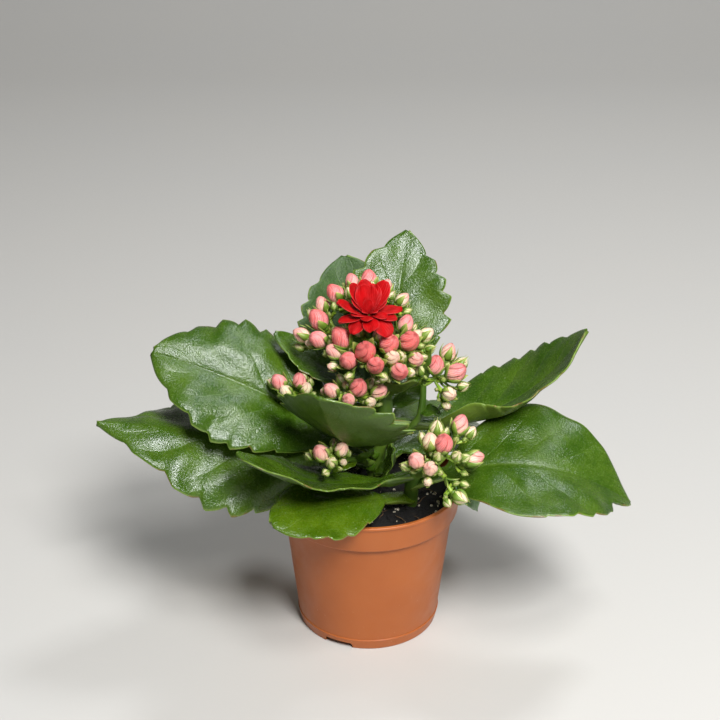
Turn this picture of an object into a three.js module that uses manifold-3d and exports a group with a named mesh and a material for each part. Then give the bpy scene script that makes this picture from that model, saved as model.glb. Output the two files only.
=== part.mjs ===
// A small kalanchoe in a 6 cm plastic nursery pot. Millimetres, +Z up, the front of the plant towards -Y.
// The origin is on the surface that the pot stands on, on the pot's axis.
import * as THREE from "three";
import { mergeVertices } from "three/addons/utils/BufferGeometryUtils.js";
import Module from "manifold-3d";

const wasm = await Module();
wasm.setup();

// Driving dimensions of the pot.
const rimRadius = 30;
const potHeight = 50;
const collarHeight = 9.4; // the straight band below the rim
const collarFootRadius = 28.4;
const bodyTopRadius = 26.9;
const bodyFootRadius = 22.7;
const footRadius = 22.2;
const footHeight = 3.6;
const wall = 1.1;
const lipWidth = 1.3;
const floorUnderside = 2.6;
const floorThickness = 1.2;
const potSides = 36;
const notchCount = 3;
const notchWidth = 9.5;
const notchHeight = 2;
const notchTurn = -25; // degrees from the front to the first notch in the foot ring
const drainRadius = 2.4;
const drainCircle = 15;

// Driving dimensions of the soil and of what every plant part shares.
const soilLevel = 45.5;
const soilMound = 1.6;
const soilLump = 0.4;
const soilSides = 24;
const seatGap = 0.3; // between a piece and what carries it
const randomSeed = 7;

const degrees = Math.PI / 180;
const upwards = new THREE.Vector3(0, 0, 1);
const vector = (p) => new THREE.Vector3(...p);
const profileOf = (pairs) => pairs.map(([r, z]) => new THREE.Vector2(r, z));

// One seeded stream of numbers from 0 to 1.
function randomStream(seed) {
  let state = seed >>> 0;
  return () => {
    state = (state + 0x6d2b79f5) >>> 0;
    let t = state;
    t = Math.imul(t ^ (t >>> 15), t | 1);
    t ^= t + Math.imul(t ^ (t >>> 7), t | 61);
    return ((t ^ (t >>> 14)) >>> 0) / 4294967296;
  };
}

// ---- geometries to solids and back ----

function solidFrom(geometry) {
  const bare = geometry.index ? geometry.toNonIndexed() : geometry;
  const positions = new THREE.BufferGeometry().setAttribute("position", bare.getAttribute("position"));
  const merged = mergeVertices(positions, 1e-4);
  return new wasm.Manifold(
    new wasm.Mesh({
      numProp: 3,
      vertProperties: new Float32Array(merged.attributes.position.array),
      triVerts: new Uint32Array(merged.index.array),
    }),
  );
}

function geometryFrom(solid) {
  const mesh = solid.getMesh();
  const geometry = new THREE.BufferGeometry();
  geometry.setAttribute("position", new THREE.BufferAttribute(new Float32Array(mesh.vertProperties), 3));
  geometry.setIndex(new THREE.BufferAttribute(new Uint32Array(mesh.triVerts), 1));
  geometry.computeVertexNormals();
  return geometry;
}

const joined = (solids) => solids.reduce((sum, solid) => sum.add(solid));

// The largest separate body of a solid, without the scraps that a cut leaves.
function mainBody(solid) {
  const bodies = solid.decompose();
  return bodies.reduce((largest, body) => (body.volume() > largest.volume() ? body : largest));
}

function centreOf(points) {
  const sum = new THREE.Vector3();
  points.forEach((p) => sum.add(p));
  return sum.divideScalar(points.length);
}

function geometryOf(points, faces) {
  const geometry = new THREE.BufferGeometry().setFromPoints(points);
  geometry.setIndex(faces);
  return geometry;
}

// A closed skin over rings that each have the same number of points, with a fan at both ends.
function loft(rings) {
  const sides = rings[0].length;
  const points = rings.flat();
  const firstCentre = points.push(centreOf(rings[0])) - 1;
  const lastCentre = points.push(centreOf(rings[rings.length - 1])) - 1;
  const lastRing = (rings.length - 1) * sides;
  const faces = [];
  for (let k = 0; k < sides; k++) {
    const next = (k + 1) % sides;
    for (let a = 0; a < lastRing; a += sides) {
      const b = a + sides;
      faces.push(a + k, a + next, b + next, a + k, b + next, b + k);
    }
    faces.push(firstCentre, next, k, lastCentre, lastRing + k, lastRing + next);
  }
  return solidFrom(geometryOf(points, faces));
}

// A round bar through points.
function bar(path, radius, sides, steps) {
  const corners = Array.from({ length: sides }, (_, k) => {
    const angle = (2 * Math.PI * k) / sides;
    return new THREE.Vector2(radius * Math.cos(angle), radius * Math.sin(angle));
  });
  const extrudePath = new THREE.CatmullRomCurve3(path.map(vector));
  const options = { steps, extrudePath, bevelEnabled: false };
  return solidFrom(new THREE.ExtrudeGeometry(new THREE.Shape(corners), options));
}

// A geometry that was made along +Y, turned to lie along an axis, with its origin at a point.
function stood(geometry, origin, axis) {
  geometry.applyQuaternion(new THREE.Quaternion().setFromUnitVectors(new THREE.Vector3(0, 1, 0), axis));
  geometry.translate(...origin);
  return solidFrom(geometry);
}

function strut(from, to, radius, sides = 3) {
  const axis = to.clone().sub(from);
  const length = axis.length();
  const middle = from.clone().lerp(to, 0.5);
  return stood(new THREE.CylinderGeometry(radius, radius, length, sides), middle, axis.normalize());
}

// ---- pot and soil ----

function potSolid() {
  const collarFoot = potHeight - collarHeight;
  const floorTop = floorUnderside + floorThickness;
  const stepHeight = 0.3;
  const lipHeight = 0.8;
  const profile = [
    [0, floorUnderside],
    [footRadius - wall, floorUnderside],
    [footRadius - wall, 0],
    [footRadius, 0],
    [footRadius, footHeight],
    [bodyFootRadius, footHeight + stepHeight],
    [bodyTopRadius, collarFoot],
    [collarFootRadius, collarFoot],
    [rimRadius, potHeight - lipHeight],
    [rimRadius, potHeight],
    [rimRadius - lipWidth, potHeight],
    [collarFootRadius - wall, collarFoot + wall],
    [bodyTopRadius - wall, collarFoot + wall / 2],
    [bodyFootRadius - wall, floorTop],
    [0, floorTop],
  ];
  const turned = new THREE.LatheGeometry(profileOf(profile), potSides);
  turned.rotateX(Math.PI / 2); // a lathe turns about Y
  let pot = solidFrom(turned);
  for (let i = 0; i < notchCount; i++) {
    const turn = (notchTurn + (i * 360) / notchCount) * degrees;
    const notch = new THREE.BoxGeometry(notchWidth, 6 * wall, 2 * notchHeight);
    notch.translate(0, -footRadius, 0);
    notch.rotateZ(turn);
    const drain = new THREE.CylinderGeometry(drainRadius, drainRadius, 6 * floorThickness, 10);
    drain.rotateX(Math.PI / 2);
    drain.translate(0, -drainCircle, floorUnderside);
    drain.rotateZ(turn);
    pot = pot.subtract(solidFrom(notch)).subtract(solidFrom(drain));
  }
  return pot;
}

function soilHeight(radius, angle) {
  const across = radius / rimRadius;
  const lumps = Math.sin(5 * angle + 9 * across) + Math.sin(3 * angle - 14 * across);
  return soilLevel + soilMound * (1 - across * across) + soilLump * lumps * across;
}

function soilSolid(sockets) {
  const shoulder = potHeight - collarHeight + wall / 2;
  const floorTop = floorUnderside + floorThickness + seatGap;
  const footOfSoil = bodyFootRadius - wall - seatGap;
  const shoulderOfSoil = bodyTopRadius - wall - seatGap;
  const topRadius = collarFootRadius - wall - seatGap;
  const ringAt = (radius, z) =>
    Array.from({ length: soilSides }, (_, k) => {
      const angle = (2 * Math.PI * k) / soilSides;
      const height = z ?? soilHeight(radius, angle);
      return new THREE.Vector3(radius * Math.cos(angle), radius * Math.sin(angle), height);
    });
  const solid = loft([
    ringAt(footOfSoil, floorTop),
    ringAt(shoulderOfSoil, shoulder),
    ringAt(topRadius, shoulder + wall),
    ringAt(topRadius),
    ringAt(topRadius * 0.7),
    ringAt(topRadius * 0.35),
  ]);
  return mainBody(solid.subtract(sockets));
}

// ---- leaves and petals ----
// A blade has a midrib from base to tip and an upper face that looks along `faces`. arch lifts the middle
// of the midrib off the chord. left and right are the angles of the blade's cross-section at the midrib and
// at the margin, in degrees, positive where the blade rises; leftTip and rightTip, where given, are what
// these angles become towards the tip. twist turns the tip end against the base end.

const bladeDefaults = {
  arch: 5,
  left: [10, 10],
  right: [10, 10],
  twist: 0,
  widest: 0.46, // where the blade is widest, from 0 at its foot to 1 at its tip
  fullness: 0.72, // less makes a blunter outline
  petiole: 0.14, // share of the length
  stalkWidth: 4.4,
  teeth: 6, // along each margin
  toothDepth: 1.7,
  toothStart: 0.32,
  wave: 0.6,
  waves: 3,
  cellsAcross: 4,
  thickness: [1.2, 0.7], // at the midrib and at the margin
};
const toothCrest = 0.78; // where a tooth is highest, along its own length
const sectionChange = [0.35, 0.75]; // where along a blade leftTip and rightTip take over
const plainStations = [0, 0.45, 0.8, 0.99];
const tipStation = 0.995;

function bladeHalfWidth(leaf, t) {
  const u = Math.max(0, (t - leaf.petiole) / (1 - leaf.petiole));
  const lean = Math.log(0.5) / Math.log(leaf.widest);
  const swell = Math.pow(Math.max(0, Math.sin(Math.PI * Math.pow(u, lean))), leaf.fullness);
  const stalk = (leaf.stalkWidth / 2) * Math.max(0, 1 - u / 0.4);
  const along = (u - leaf.toothStart) / (1 - leaf.toothStart);
  let tooth = 0;
  if (leaf.teeth > 0 && along > 0 && along < 1) {
    const part = (along * leaf.teeth) % 1;
    const rise = part < toothCrest ? Math.pow(part / toothCrest, 0.6) : (1 - part) / (1 - toothCrest);
    tooth = leaf.toothDepth * (rise - 0.6) * Math.min(1, swell * 1.4);
  }
  return Math.max(0.5, Math.max(stalk, (leaf.width / 2) * swell) + tooth);
}

// The point of the blade's middle surface at t from base to tip and v from -1 at the left margin to 1.
function bladePoint(leaf, t, v) {
  const base = vector(leaf.base);
  const chord = vector(leaf.tip).sub(base);
  const ahead = chord.clone().normalize();
  const up = vector(leaf.faces);
  up.addScaledVector(ahead, -up.dot(ahead)).normalize();
  const side = ahead.clone().cross(up);
  const middle = base.addScaledVector(chord, t).addScaledVector(up, leaf.arch * 4 * t * (1 - t));
  const tangent = chord.clone().addScaledVector(up, leaf.arch * (4 - 8 * t)).normalize();
  const turn = leaf.twist * (t - 0.5) * degrees;
  const normal = up.clone().multiplyScalar(Math.cos(turn)).addScaledVector(side, Math.sin(turn));
  normal.addScaledVector(tangent, -normal.dot(tangent)).normalize();
  const sideways = tangent.clone().cross(normal);
  const half = bladeHalfWidth(leaf, t);
  const reach = Math.abs(v);
  const atFoot = v < 0 ? leaf.left : leaf.right;
  const atTip = (v < 0 ? leaf.leftTip : leaf.rightTip) ?? atFoot;
  const share = THREE.MathUtils.smoothstep(t, ...sectionChange);
  const [start, end] = atFoot.map((angle, n) => THREE.MathUtils.lerp(angle, atTip[n], share) * degrees);
  const bend = Math.abs(end - start) < 0.01 ? 0.01 : end - start;
  const angle = start + bend * reach;
  const out = (half * (Math.sin(angle) - Math.sin(start))) / bend;
  const rise = (half * (Math.cos(start) - Math.cos(angle))) / bend;
  const ripple = leaf.wave * reach * reach * Math.sin(2 * Math.PI * leaf.waves * t + Math.sign(v));
  return middle.addScaledVector(sideways, Math.sign(v) * out).addScaledVector(normal, rise + ripple);
}

// Places along the blade: a few over the plain part, then the foot and the crest of each tooth.
function bladeStations(leaf) {
  if (leaf.teeth === 0) return plainStations;
  const onBlade = (u) => leaf.petiole + (1 - leaf.petiole) * u;
  const stations = [0, leaf.petiole * 0.5, leaf.petiole];
  stations.push(onBlade(leaf.toothStart * 0.33), onBlade(leaf.toothStart * 0.66));
  for (let i = 0; i < leaf.teeth; i++)
    for (const part of [0, toothCrest])
      stations.push(onBlade(leaf.toothStart + ((1 - leaf.toothStart) * (i + part)) / leaf.teeth));
  stations.push(tipStation);
  return stations;
}

function bladeSolid(settings) {
  const leaf = { ...bladeDefaults, ...settings };
  const stations = bladeStations(leaf);
  const columns = leaf.cellsAcross + 1;
  const stepAlong = 1e-3;
  const stepAcross = 0.02;
  const top = [];
  const bottom = [];
  for (const t of stations)
    for (let k = 0; k < columns; k++) {
      const v = (2 * k) / leaf.cellsAcross - 1;
      const inward = v * 0.97;
      const ahead = bladePoint(leaf, t + stepAlong, inward).sub(bladePoint(leaf, t - stepAlong, inward));
      const across = bladePoint(leaf, t, inward + stepAcross).sub(bladePoint(leaf, t, inward - stepAcross));
      const normal = across.cross(ahead).normalize();
      const half = THREE.MathUtils.lerp(...leaf.thickness, Math.abs(v)) / 2;
      const point = bladePoint(leaf, t, v);
      top.push(point.clone().addScaledVector(normal, half));
      bottom.push(point.addScaledVector(normal, -half));
    }
  const under = top.length;
  const last = stations.length - 1;
  const at = (i, k) => i * columns + k;
  const faces = [];
  for (let i = 0; i < last; i++)
    for (let k = 0; k < columns - 1; k++) {
      const [a, b, c, d] = [at(i, k), at(i, k + 1), at(i + 1, k + 1), at(i + 1, k)];
      faces.push(a, b, c, a, c, d);
      faces.push(under + a, under + c, under + b, under + a, under + d, under + c);
    }
  const margin = [];
  for (let k = 0; k < columns - 1; k++) margin.push(at(0, k));
  for (let i = 0; i < last; i++) margin.push(at(i, columns - 1));
  for (let k = columns - 1; k > 0; k--) margin.push(at(last, k));
  for (let i = last; i > 0; i--) margin.push(at(i, 0));
  margin.forEach((a, n) => {
    const b = margin[(n + 1) % margin.length];
    faces.push(a, under + a, b, b, under + a, under + b);
  });
  return solidFrom(geometryOf([...top, ...bottom], faces));
}

// ---- bud clusters ----
// A cluster is a cyme. Its peduncle rises from a stem to a fork, a branch runs from the fork towards each
// group of buds, and a pedicel runs from the branch's end to each bud. Each of these buds ends a small branch
// of its own, so younger buds stand beside it, lower and smaller, where there is room for them.

const budLength = 1.3; // as a multiple of the bud's diameter
const budSides = 5;
// A bud's radius and the place along it, as shares of its largest radius and of its length from its middle.
const budOutline = [[0, -0.45], [0.5, -0.45], [1, -0.12], [0.85, 0.25], [0.2, 0.55], [0, 0.55]];
const youngBudOutline = [[0, -0.45], [0.5, -0.45], [1, -0.05], [0.25, 0.55], [0, 0.55]];
const youngBuds = 2; // beside each bud
const youngBudShare = [0.5, 0.72]; // of its elder's diameter
const youngBudDrop = 0.35; // down its elder's axis, in diameters of the elder
const youngBudReach = 0.56; // away from that axis, as a share of both diameters together
const budRoom = 0.92; // buds may press into each other this far
const pedicelRadius = 0.5;
const branchRadius = 0.75;
const pedicelLift = 0.5; // how far a bud's axis turns up from its pedicel

function budSolid(centre, axis, diameter, outline, sides) {
  const profile = outline.map(([r, y]) => [(r * diameter) / 2, y * diameter * budLength]);
  return stood(new THREE.LatheGeometry(profileOf(profile), sides), centre, axis);
}

function perpendicularTo(axis) {
  const aside = Math.abs(axis.z) < 0.9 ? upwards : new THREE.Vector3(1, 0, 0);
  return aside.clone().cross(axis).normalize();
}

function clusterSolid(cluster) {
  const random = randomStream(randomSeed + cluster.seed);
  const fork = vector(cluster.peduncle[cluster.peduncle.length - 1]);
  const pieces = [bar(cluster.peduncle, cluster.radius, 6, 4)];
  const taken = cluster.groups.flat().map(([x, y, z, diameter]) => ({ centre: vector([x, y, z]), diameter }));
  if (cluster.carries) {
    taken.push(cluster.carries.room);
    pieces.push(strut(fork, cluster.carries.seat, branchRadius, 5));
  }
  const addBud = (centre, axis, diameter, from, outline, sides) => {
    const foot = centre.clone().addScaledVector(axis, 0.4 - 0.4 * diameter * budLength);
    pieces.push(budSolid(centre, axis, diameter, outline, sides), strut(from, foot, pedicelRadius));
  };
  for (const group of cluster.groups) {
    const elders = group.map(([x, y, z, diameter]) => ({ centre: vector([x, y, z]), diameter }));
    const branchEnd = fork.clone().lerp(centreOf(elders.map((bud) => bud.centre)), cluster.branching);
    pieces.push(strut(fork, branchEnd, branchRadius, 4));
    for (const { centre, diameter } of elders) {
      const axis = centre.clone().sub(branchEnd).normalize();
      axis.addScaledVector(upwards, pedicelLift).normalize();
      addBud(centre, axis, diameter, branchEnd, budOutline, budSides);
      const across = perpendicularTo(axis);
      const aside = axis.clone().cross(across);
      const firstAngle = random() * 2 * Math.PI;
      for (let i = 0; i < youngBuds; i++) {
        const younger = diameter * THREE.MathUtils.lerp(...youngBudShare, random());
        const angle = firstAngle + (i * 2 * Math.PI) / youngBuds + random() * 0.6;
        const away = across.clone().multiplyScalar(Math.cos(angle)).addScaledVector(aside, Math.sin(angle));
        const spot = centre.clone().addScaledVector(away, (diameter + younger) * youngBudReach);
        spot.addScaledVector(axis, -youngBudDrop * diameter);
        const room = (other) => ((other.diameter + younger) / 2) * budRoom;
        if (taken.some((other) => other.centre.distanceTo(spot) < room(other))) continue;
        taken.push({ centre: spot, diameter: younger });
        const lean = axis.clone().addScaledVector(away, 0.35).normalize();
        const axil = centre.clone().addScaledVector(axis, -0.9 * diameter);
        addBud(spot, lean, younger, axil, youngBudOutline, budSides - 1);
      }
    }
  }
  return joined(pieces);
}

// ---- bloom ----
// The bloom is made at its own origin with its axis up. Its back petals stand up behind its heart, and the
// front ones lie flat or droop.

const bloom = {
  centre: [0, -8, 110.5],
  axis: [0.03, -0.12, 0.99],
  tubeLength: 7,
  tubeRadius: 1.1,
  coreRadius: 1.5,
  coreHeight: 2.4,
  roomDiameter: 17,
  petalFoot: 0.5, // from the axis
  // Each petal: bearing from the right anticlockwise, rise in degrees, length and width.
  petals: [
    [132, 55, 10.4, 5.6], [96, 60, 10.4, 6], [62, 52, 9.2, 5.4], [38, 47, 11, 6],
    [170, 27, 10, 5.6], [4, 6, 9.8, 5], [194, 0, 9.4, 5], [222, -12, 8.6, 5],
    [262, -2, 8, 5], [300, -22, 9, 6.6], [336, -2, 8, 4.8],
    [112, 65, 9.2, 6.6], [74, 61, 8.6, 5], [200, 18, 6, 4], [318, 11, 5.6, 3.6],
  ],
};

function petalSolid([bearing, steepness, length, width]) {
  const angle = bearing * degrees;
  const rise = steepness * degrees;
  const out = vector([Math.cos(angle), Math.sin(angle), 0]);
  const along = out.clone().multiplyScalar(Math.cos(rise)).addScaledVector(upwards, Math.sin(rise));
  const faces = upwards.clone().multiplyScalar(Math.cos(rise)).addScaledVector(out, -Math.sin(rise));
  const base = out.clone().multiplyScalar(bloom.petalFoot);
  return bladeSolid({
    base: base.toArray(),
    tip: base.clone().addScaledVector(along, length).toArray(),
    faces: faces.toArray(),
    width,
    arch: 0.5,
    widest: 0.62,
    petiole: 0,
    stalkWidth: 1.2,
    teeth: 0,
    wave: 0,
    cellsAcross: 2,
    thickness: [0.7, 0.6],
  });
}

function bloomSolid() {
  const { tubeLength, tubeRadius, coreRadius, coreHeight } = bloom;
  const profile = [
    [0, -tubeLength],
    [tubeRadius, -tubeLength],
    [tubeRadius, -coreRadius],
    [coreRadius, 0],
    [coreRadius / 2, coreHeight],
    [0, coreHeight],
  ];
  const heart = stood(new THREE.LatheGeometry(profileOf(profile), 8), [0, 0, 0], upwards);
  return joined([heart, ...bloom.petals.map(petalSolid)]);
}

const bloomAxis = vector(bloom.axis).normalize();
const bloomSeat = {
  seat: vector(bloom.centre).addScaledVector(bloomAxis, -bloom.tubeLength - 2 * seatGap),
  room: { centre: vector(bloom.centre), diameter: bloom.roomDiameter },
};

// ---- the plant ----
// Two stems stand in the soil: the main one ends in the head, and a shorter one stands to the front right.

const stems = {
  main: { path: [[2, 3, 30], [2, 2, 46], [3, 1, 60], [5, 0, 72], [4, 0, 88]], radius: 2.5 },
  side: { path: [[11.5, -7, 32], [13, -9.5, 46], [13.4, -13, 56], [14.5, -15.5, 62]], radius: 2.2 },
};
const stemSides = 10;
const stemSteps = 8;
const stemSolid = (stem, extra = 0) => bar(stem.path, stem.radius + extra, stemSides, stemSteps);

// The leaves, from the highest down. Each starts on the axis of the stem that carries it.
const leaves = {
  small_left_leaf: {
    stem: "main", base: [4, 0, 81], tip: [-29, 8, 97], faces: [0.4, -0.4, 0.9],
    width: 17, arch: -3, left: [10, 20], right: [5, 10], teeth: 4, toothDepth: 1, cellsAcross: 2,
  },
  head_front_leaf: {
    stem: "main", base: [4, -1, 81], tip: [14, -14, 92], faces: [-0.3, 0.75, 0.6],
    width: 14, arch: -1, teeth: 0, cellsAcross: 2,
  },
  back_right_leaf: {
    stem: "main", base: [4, 2, 76], tip: [12, 30, 122], faces: [0.02, -0.85, 0.4],
    width: 33, arch: -2, left: [10, 14], right: [10, 14], teeth: 5, toothDepth: 3, fullness: 0.84,
  },
  right_upper_leaf: {
    stem: "main", base: [5, 0, 70], tip: [66, 0, 102], faces: [-0.4, -0.1, 0.9],
    width: 34, arch: -12.5, left: [10, 15], right: [2, 96], rightTip: [12, 27], toothDepth: 2,
    widest: 0.4, fullness: 0.66, petiole: 0.19,
  },
  inner_right_leaf: {
    stem: "main", base: [4.6, 1.5, 72.5], tip: [16, 14, 84], faces: [-0.3, -0.8, 0.5],
    width: 15, arch: -1, left: [8, 14], right: [8, 14], teeth: 0, stalkWidth: 3, cellsAcross: 2,
  },
  back_left_leaf: {
    stem: "main", base: [2, 3, 68], tip: [-8, 38, 110], faces: [0.15, -0.75, 0.5],
    width: 39, arch: -3, left: [8, 12], right: [8, 12], teeth: 5, toothDepth: 2.6, widest: 0.5,
  },
  front_upper_leaf: {
    stem: "main", base: [2, 0, 64], tip: [-14, -38, 99], faces: [0.15, 0.5, 0.85],
    width: 43, arch: -6, left: [5, 20], right: [12, 28], toothDepth: 3.2, widest: 0.56,
  },
  left_upper_leaf: {
    stem: "main", base: [3, 0, 59], tip: [-66, 0, 94.5], faces: [0.3, -0.55, 0.8],
    width: 43, arch: 4, left: [14, -12], right: [14, -2], toothDepth: 2.4, widest: 0.55,
  },
  back_low_left_leaf: {
    stem: "main", base: [2, 2, 57], tip: [-40, 41, 74], faces: [0.2, -0.3, 0.9],
    width: 38, left: [5, 5], right: [5, 5], teeth: 5, cellsAcross: 2,
  },
  left_lower_leaf: {
    stem: "main", base: [2, 0, 55], tip: [-83, -10, 75], faces: [0.2, -0.5, 0.9],
    width: 49, arch: 4, left: [-5, -40], right: [-22, -45], teeth: 5, toothDepth: 3.6, widest: 0.42,
    fullness: 1.1,
  },
  back_low_right_leaf: {
    stem: "main", base: [3, 2, 53.5], tip: [41, 42, 43], faces: [0, -0.2, 0.9],
    width: 34, arch: 8, left: [5, 5], right: [5, 5], teeth: 5, cellsAcross: 2,
  },
  front_small_leaf: {
    stem: "main", base: [3, 0, 52.5], tip: [7.5, -13, 66.5], faces: [-0.3, -0.6, 0.75],
    width: 12, arch: -2, teeth: 3, toothDepth: 1, cellsAcross: 2,
  },
  back_lowest_leaf: {
    stem: "main", base: [2, 3, 50], tip: [-18, 42, 56], faces: [0, -0.3, 0.9],
    width: 26, arch: 6, left: [0, 0], right: [0, 0], teeth: 4, toothDepth: 1, cellsAcross: 2,
  },
  front_left_leaf: {
    stem: "side", base: [14, -14.6, 60], tip: [-38, -34, 77.5], faces: [0.25, 0.25, 0.95],
    width: 28, arch: -6, left: [9, 26], leftTip: [3, 14], right: [10, 4], twist: 8, widest: 0.6,
    fullness: 0.55,
  },
  right_lower_leaf: {
    stem: "side", base: [13.4, -12.6, 55], tip: [80.5, -15, 50], faces: [0, -0.35, 0.95],
    width: 45, arch: 14, left: [8, 4], leftTip: [12, 8], right: [2, 16], rightTip: [10, 18], teeth: 4,
    toothStart: 0.5, widest: 0.46, fullness: 0.82,
  },
  front_low_leaf: {
    stem: "side", base: [13.1, -10.6, 49], tip: [-28.5, -38.5, 57], faces: [0, -0.3, 0.95],
    width: 25.5, arch: 3, left: [0, 0], right: [0, 0], teeth: 4, toothDepth: 1.2, widest: 0.57,
    fullness: 0.62, petiole: 0.2,
  },
};

// The clusters, each with its elder buds in groups: centre x, y, z and diameter.
const clusters = {
  head_buds: {
    seed: 1, stem: "main", radius: 1.6, branching: 0.55, carries: bloomSeat,
    peduncle: [[4, 0, 84], [3, -1, 90], [1, -1, 95]],
    groups: [
      [[-10, 6, 111, 5.1], [-5, 12, 112, 4.4], [0, 11, 113, 5.3], [5, 10, 111, 4.4], [10, 8, 108, 4]],
      [[-15, 0, 105, 5.7], [-20, 0, 100, 4.6], [-15, -5, 101, 5.1], [-14, 6, 107, 4.4]],
      [[-8, -10, 104, 5.9], [-10, -11, 100, 4.7], [-6, -15, 99, 5.3], [-1, -15, 102, 6.2], [2, -18, 99, 5.1]],
      [[-3, -9, 106, 3.8], [3, -10, 105, 3.8], [6, -12, 103, 5.7], [9, -18, 97, 5.1], [7, -15, 100, 4.4]],
      [[12, -8, 102, 5.9], [14, -12, 98, 4.4], [11, -1, 104, 4.8], [17, 0, 100, 4.4]],
      [[-9, 11, 107, 4.2], [1, 16, 107, 4.6], [10, 13, 104, 4.2]],
    ],
  },
  right_buds: {
    seed: 2, stem: "main", radius: 1.1, branching: 0.4,
    peduncle: [[4.2, 0, 66], [10, -3.4, 68], [15, -5.4, 74], [16.3, -6.2, 80], [16.5, -7, 87]],
    groups: [
      [[20, -8, 94, 5.1], [26, -9, 92, 5.6], [24, -13, 87, 4.2], [24, -2, 95, 4.7], [28, -3, 92, 3.6]],
    ],
  },
  left_buds: {
    seed: 3, stem: "main", radius: 1.1, branching: 0.4,
    peduncle: [[4, 0, 75], [-6, 1, 75], [-18, -1, 77]],
    groups: [[[-27, -6, 87, 4.6], [-21, -5, 87, 4.2], [-25, -8, 85, 3.8], [-19, -6, 85, 3.6]]],
  },
  middle_buds: {
    seed: 4, stem: "main", radius: 1, branching: 0.4,
    peduncle: [[5, 0, 77], [1, -5, 79], [-3, -9, 83]],
    groups: [
      [[-11, -15, 89, 4.4], [-3, -15, 90, 5.3], [3, -14, 88, 4.6], [-6, -19, 88, 4], [-8, -9, 89, 3.6]],
    ],
  },
  low_right_buds: {
    seed: 5, stem: "side", radius: 1.1, branching: 0.4,
    peduncle: [[14.4, -15, 60], [17, -20.5, 64], [20, -24, 69]],
    groups: [
      [[20, -24, 81, 4.2], [18, -28, 79, 4.8], [14, -32, 75, 4.8], [18, -33, 73, 4.4]],
      [[27, -20, 80, 5.1], [22, -29, 79, 5.5], [31, -24, 71, 5.1]],
      [[27, -31, 62, 4.3]],
    ],
  },
  low_left_buds: {
    seed: 6, stem: "main", radius: 0.9, branching: 0.3,
    peduncle: [[2, 0, 56.3], [-0.5, -3.5, 57], [-2, -9, 61.5], [-9, -19, 68]],
    groups: [[[-14, -26, 74, 5], [-8, -24, 74, 4.2], [-11, -27, 71.5, 3.7]]],
  },
};

// ---- the named meshes ----

const looks = {
  plastic: { color: 0xb0603a, roughness: 0.45 },
  peat: { color: 0x120f0c, roughness: 0.95 },
  leaf: { color: 0x4a7026, roughness: 0.35 },
  stem: { color: 0x6d8f3c, roughness: 0.5 },
  bud: { color: 0xe8888a, roughness: 0.5 },
  petal: { color: 0xd9202c, roughness: 0.45 },
};

function namedMesh(name, solid, look) {
  const material = new THREE.MeshStandardMaterial({ ...looks[look], metalness: 0 });
  const mesh = new THREE.Mesh(geometryFrom(solid), material);
  mesh.name = name;
  return mesh;
}

const sockets = {};
for (const [name, stem] of Object.entries(stems)) sockets[name] = stemSolid(stem, seatGap);

const holder = new THREE.Group();
holder.add(namedMesh("pot", potSolid(), "plastic"));
holder.add(namedMesh("soil", soilSolid(joined(Object.values(sockets))), "peat"));

const plant = new THREE.Group();
for (const [name, stem] of Object.entries(stems))
  plant.add(namedMesh(name + "_stem", stemSolid(stem), "stem"));
for (const [name, leaf] of Object.entries(leaves))
  plant.add(namedMesh(name, mainBody(bladeSolid(leaf).subtract(sockets[leaf.stem])), "leaf"));
for (const [name, cluster] of Object.entries(clusters))
  plant.add(namedMesh(name, mainBody(clusterSolid(cluster).subtract(sockets[cluster.stem])), "bud"));

const bloomMesh = namedMesh("bloom", bloomSolid(), "petal");
bloomMesh.position.set(...bloom.centre);
bloomMesh.quaternion.setFromUnitVectors(upwards, bloomAxis);
plant.add(bloomMesh);

const group = new THREE.Group();
group.add(holder, plant);

export default group;
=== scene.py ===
import math

import bmesh
import bpy
import numpy as np
from mathutils import Matrix, Vector, noise


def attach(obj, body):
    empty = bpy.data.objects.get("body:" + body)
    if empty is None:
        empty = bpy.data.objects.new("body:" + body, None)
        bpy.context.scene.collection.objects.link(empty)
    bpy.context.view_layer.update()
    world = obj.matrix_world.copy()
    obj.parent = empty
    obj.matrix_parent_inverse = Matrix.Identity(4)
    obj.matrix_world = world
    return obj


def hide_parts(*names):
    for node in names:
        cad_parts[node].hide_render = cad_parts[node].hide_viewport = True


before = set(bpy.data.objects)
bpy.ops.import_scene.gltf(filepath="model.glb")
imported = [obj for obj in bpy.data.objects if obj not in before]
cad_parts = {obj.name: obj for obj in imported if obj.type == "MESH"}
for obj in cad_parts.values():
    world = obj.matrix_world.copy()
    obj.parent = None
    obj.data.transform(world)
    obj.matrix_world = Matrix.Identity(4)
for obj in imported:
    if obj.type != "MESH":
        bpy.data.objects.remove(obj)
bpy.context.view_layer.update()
scene = bpy.context.scene
mm = 0.001  # the dictionaries below are in millimetres and degrees
print("frame loaded")


def arithmetic(operation, swapped=False):
    def apply(self, other=0):
        first, second = (other, self) if swapped else (self, other)
        return self.nodes.add("ShaderNodeMath", {"operation": operation}, {0: first, 1: second})

    return apply


class Wire:  # a socket that arithmetic can be written on
    def __init__(self, nodes, socket):
        self.nodes = nodes
        self.socket = socket

    __add__ = arithmetic("ADD")
    __radd__ = arithmetic("ADD", True)
    __sub__ = arithmetic("SUBTRACT")
    __rsub__ = arithmetic("SUBTRACT", True)
    __mul__ = arithmetic("MULTIPLY")
    __truediv__ = arithmetic("DIVIDE")
    __mod__ = arithmetic("FLOORED_MODULO")
    __abs__ = arithmetic("ABSOLUTE")


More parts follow.
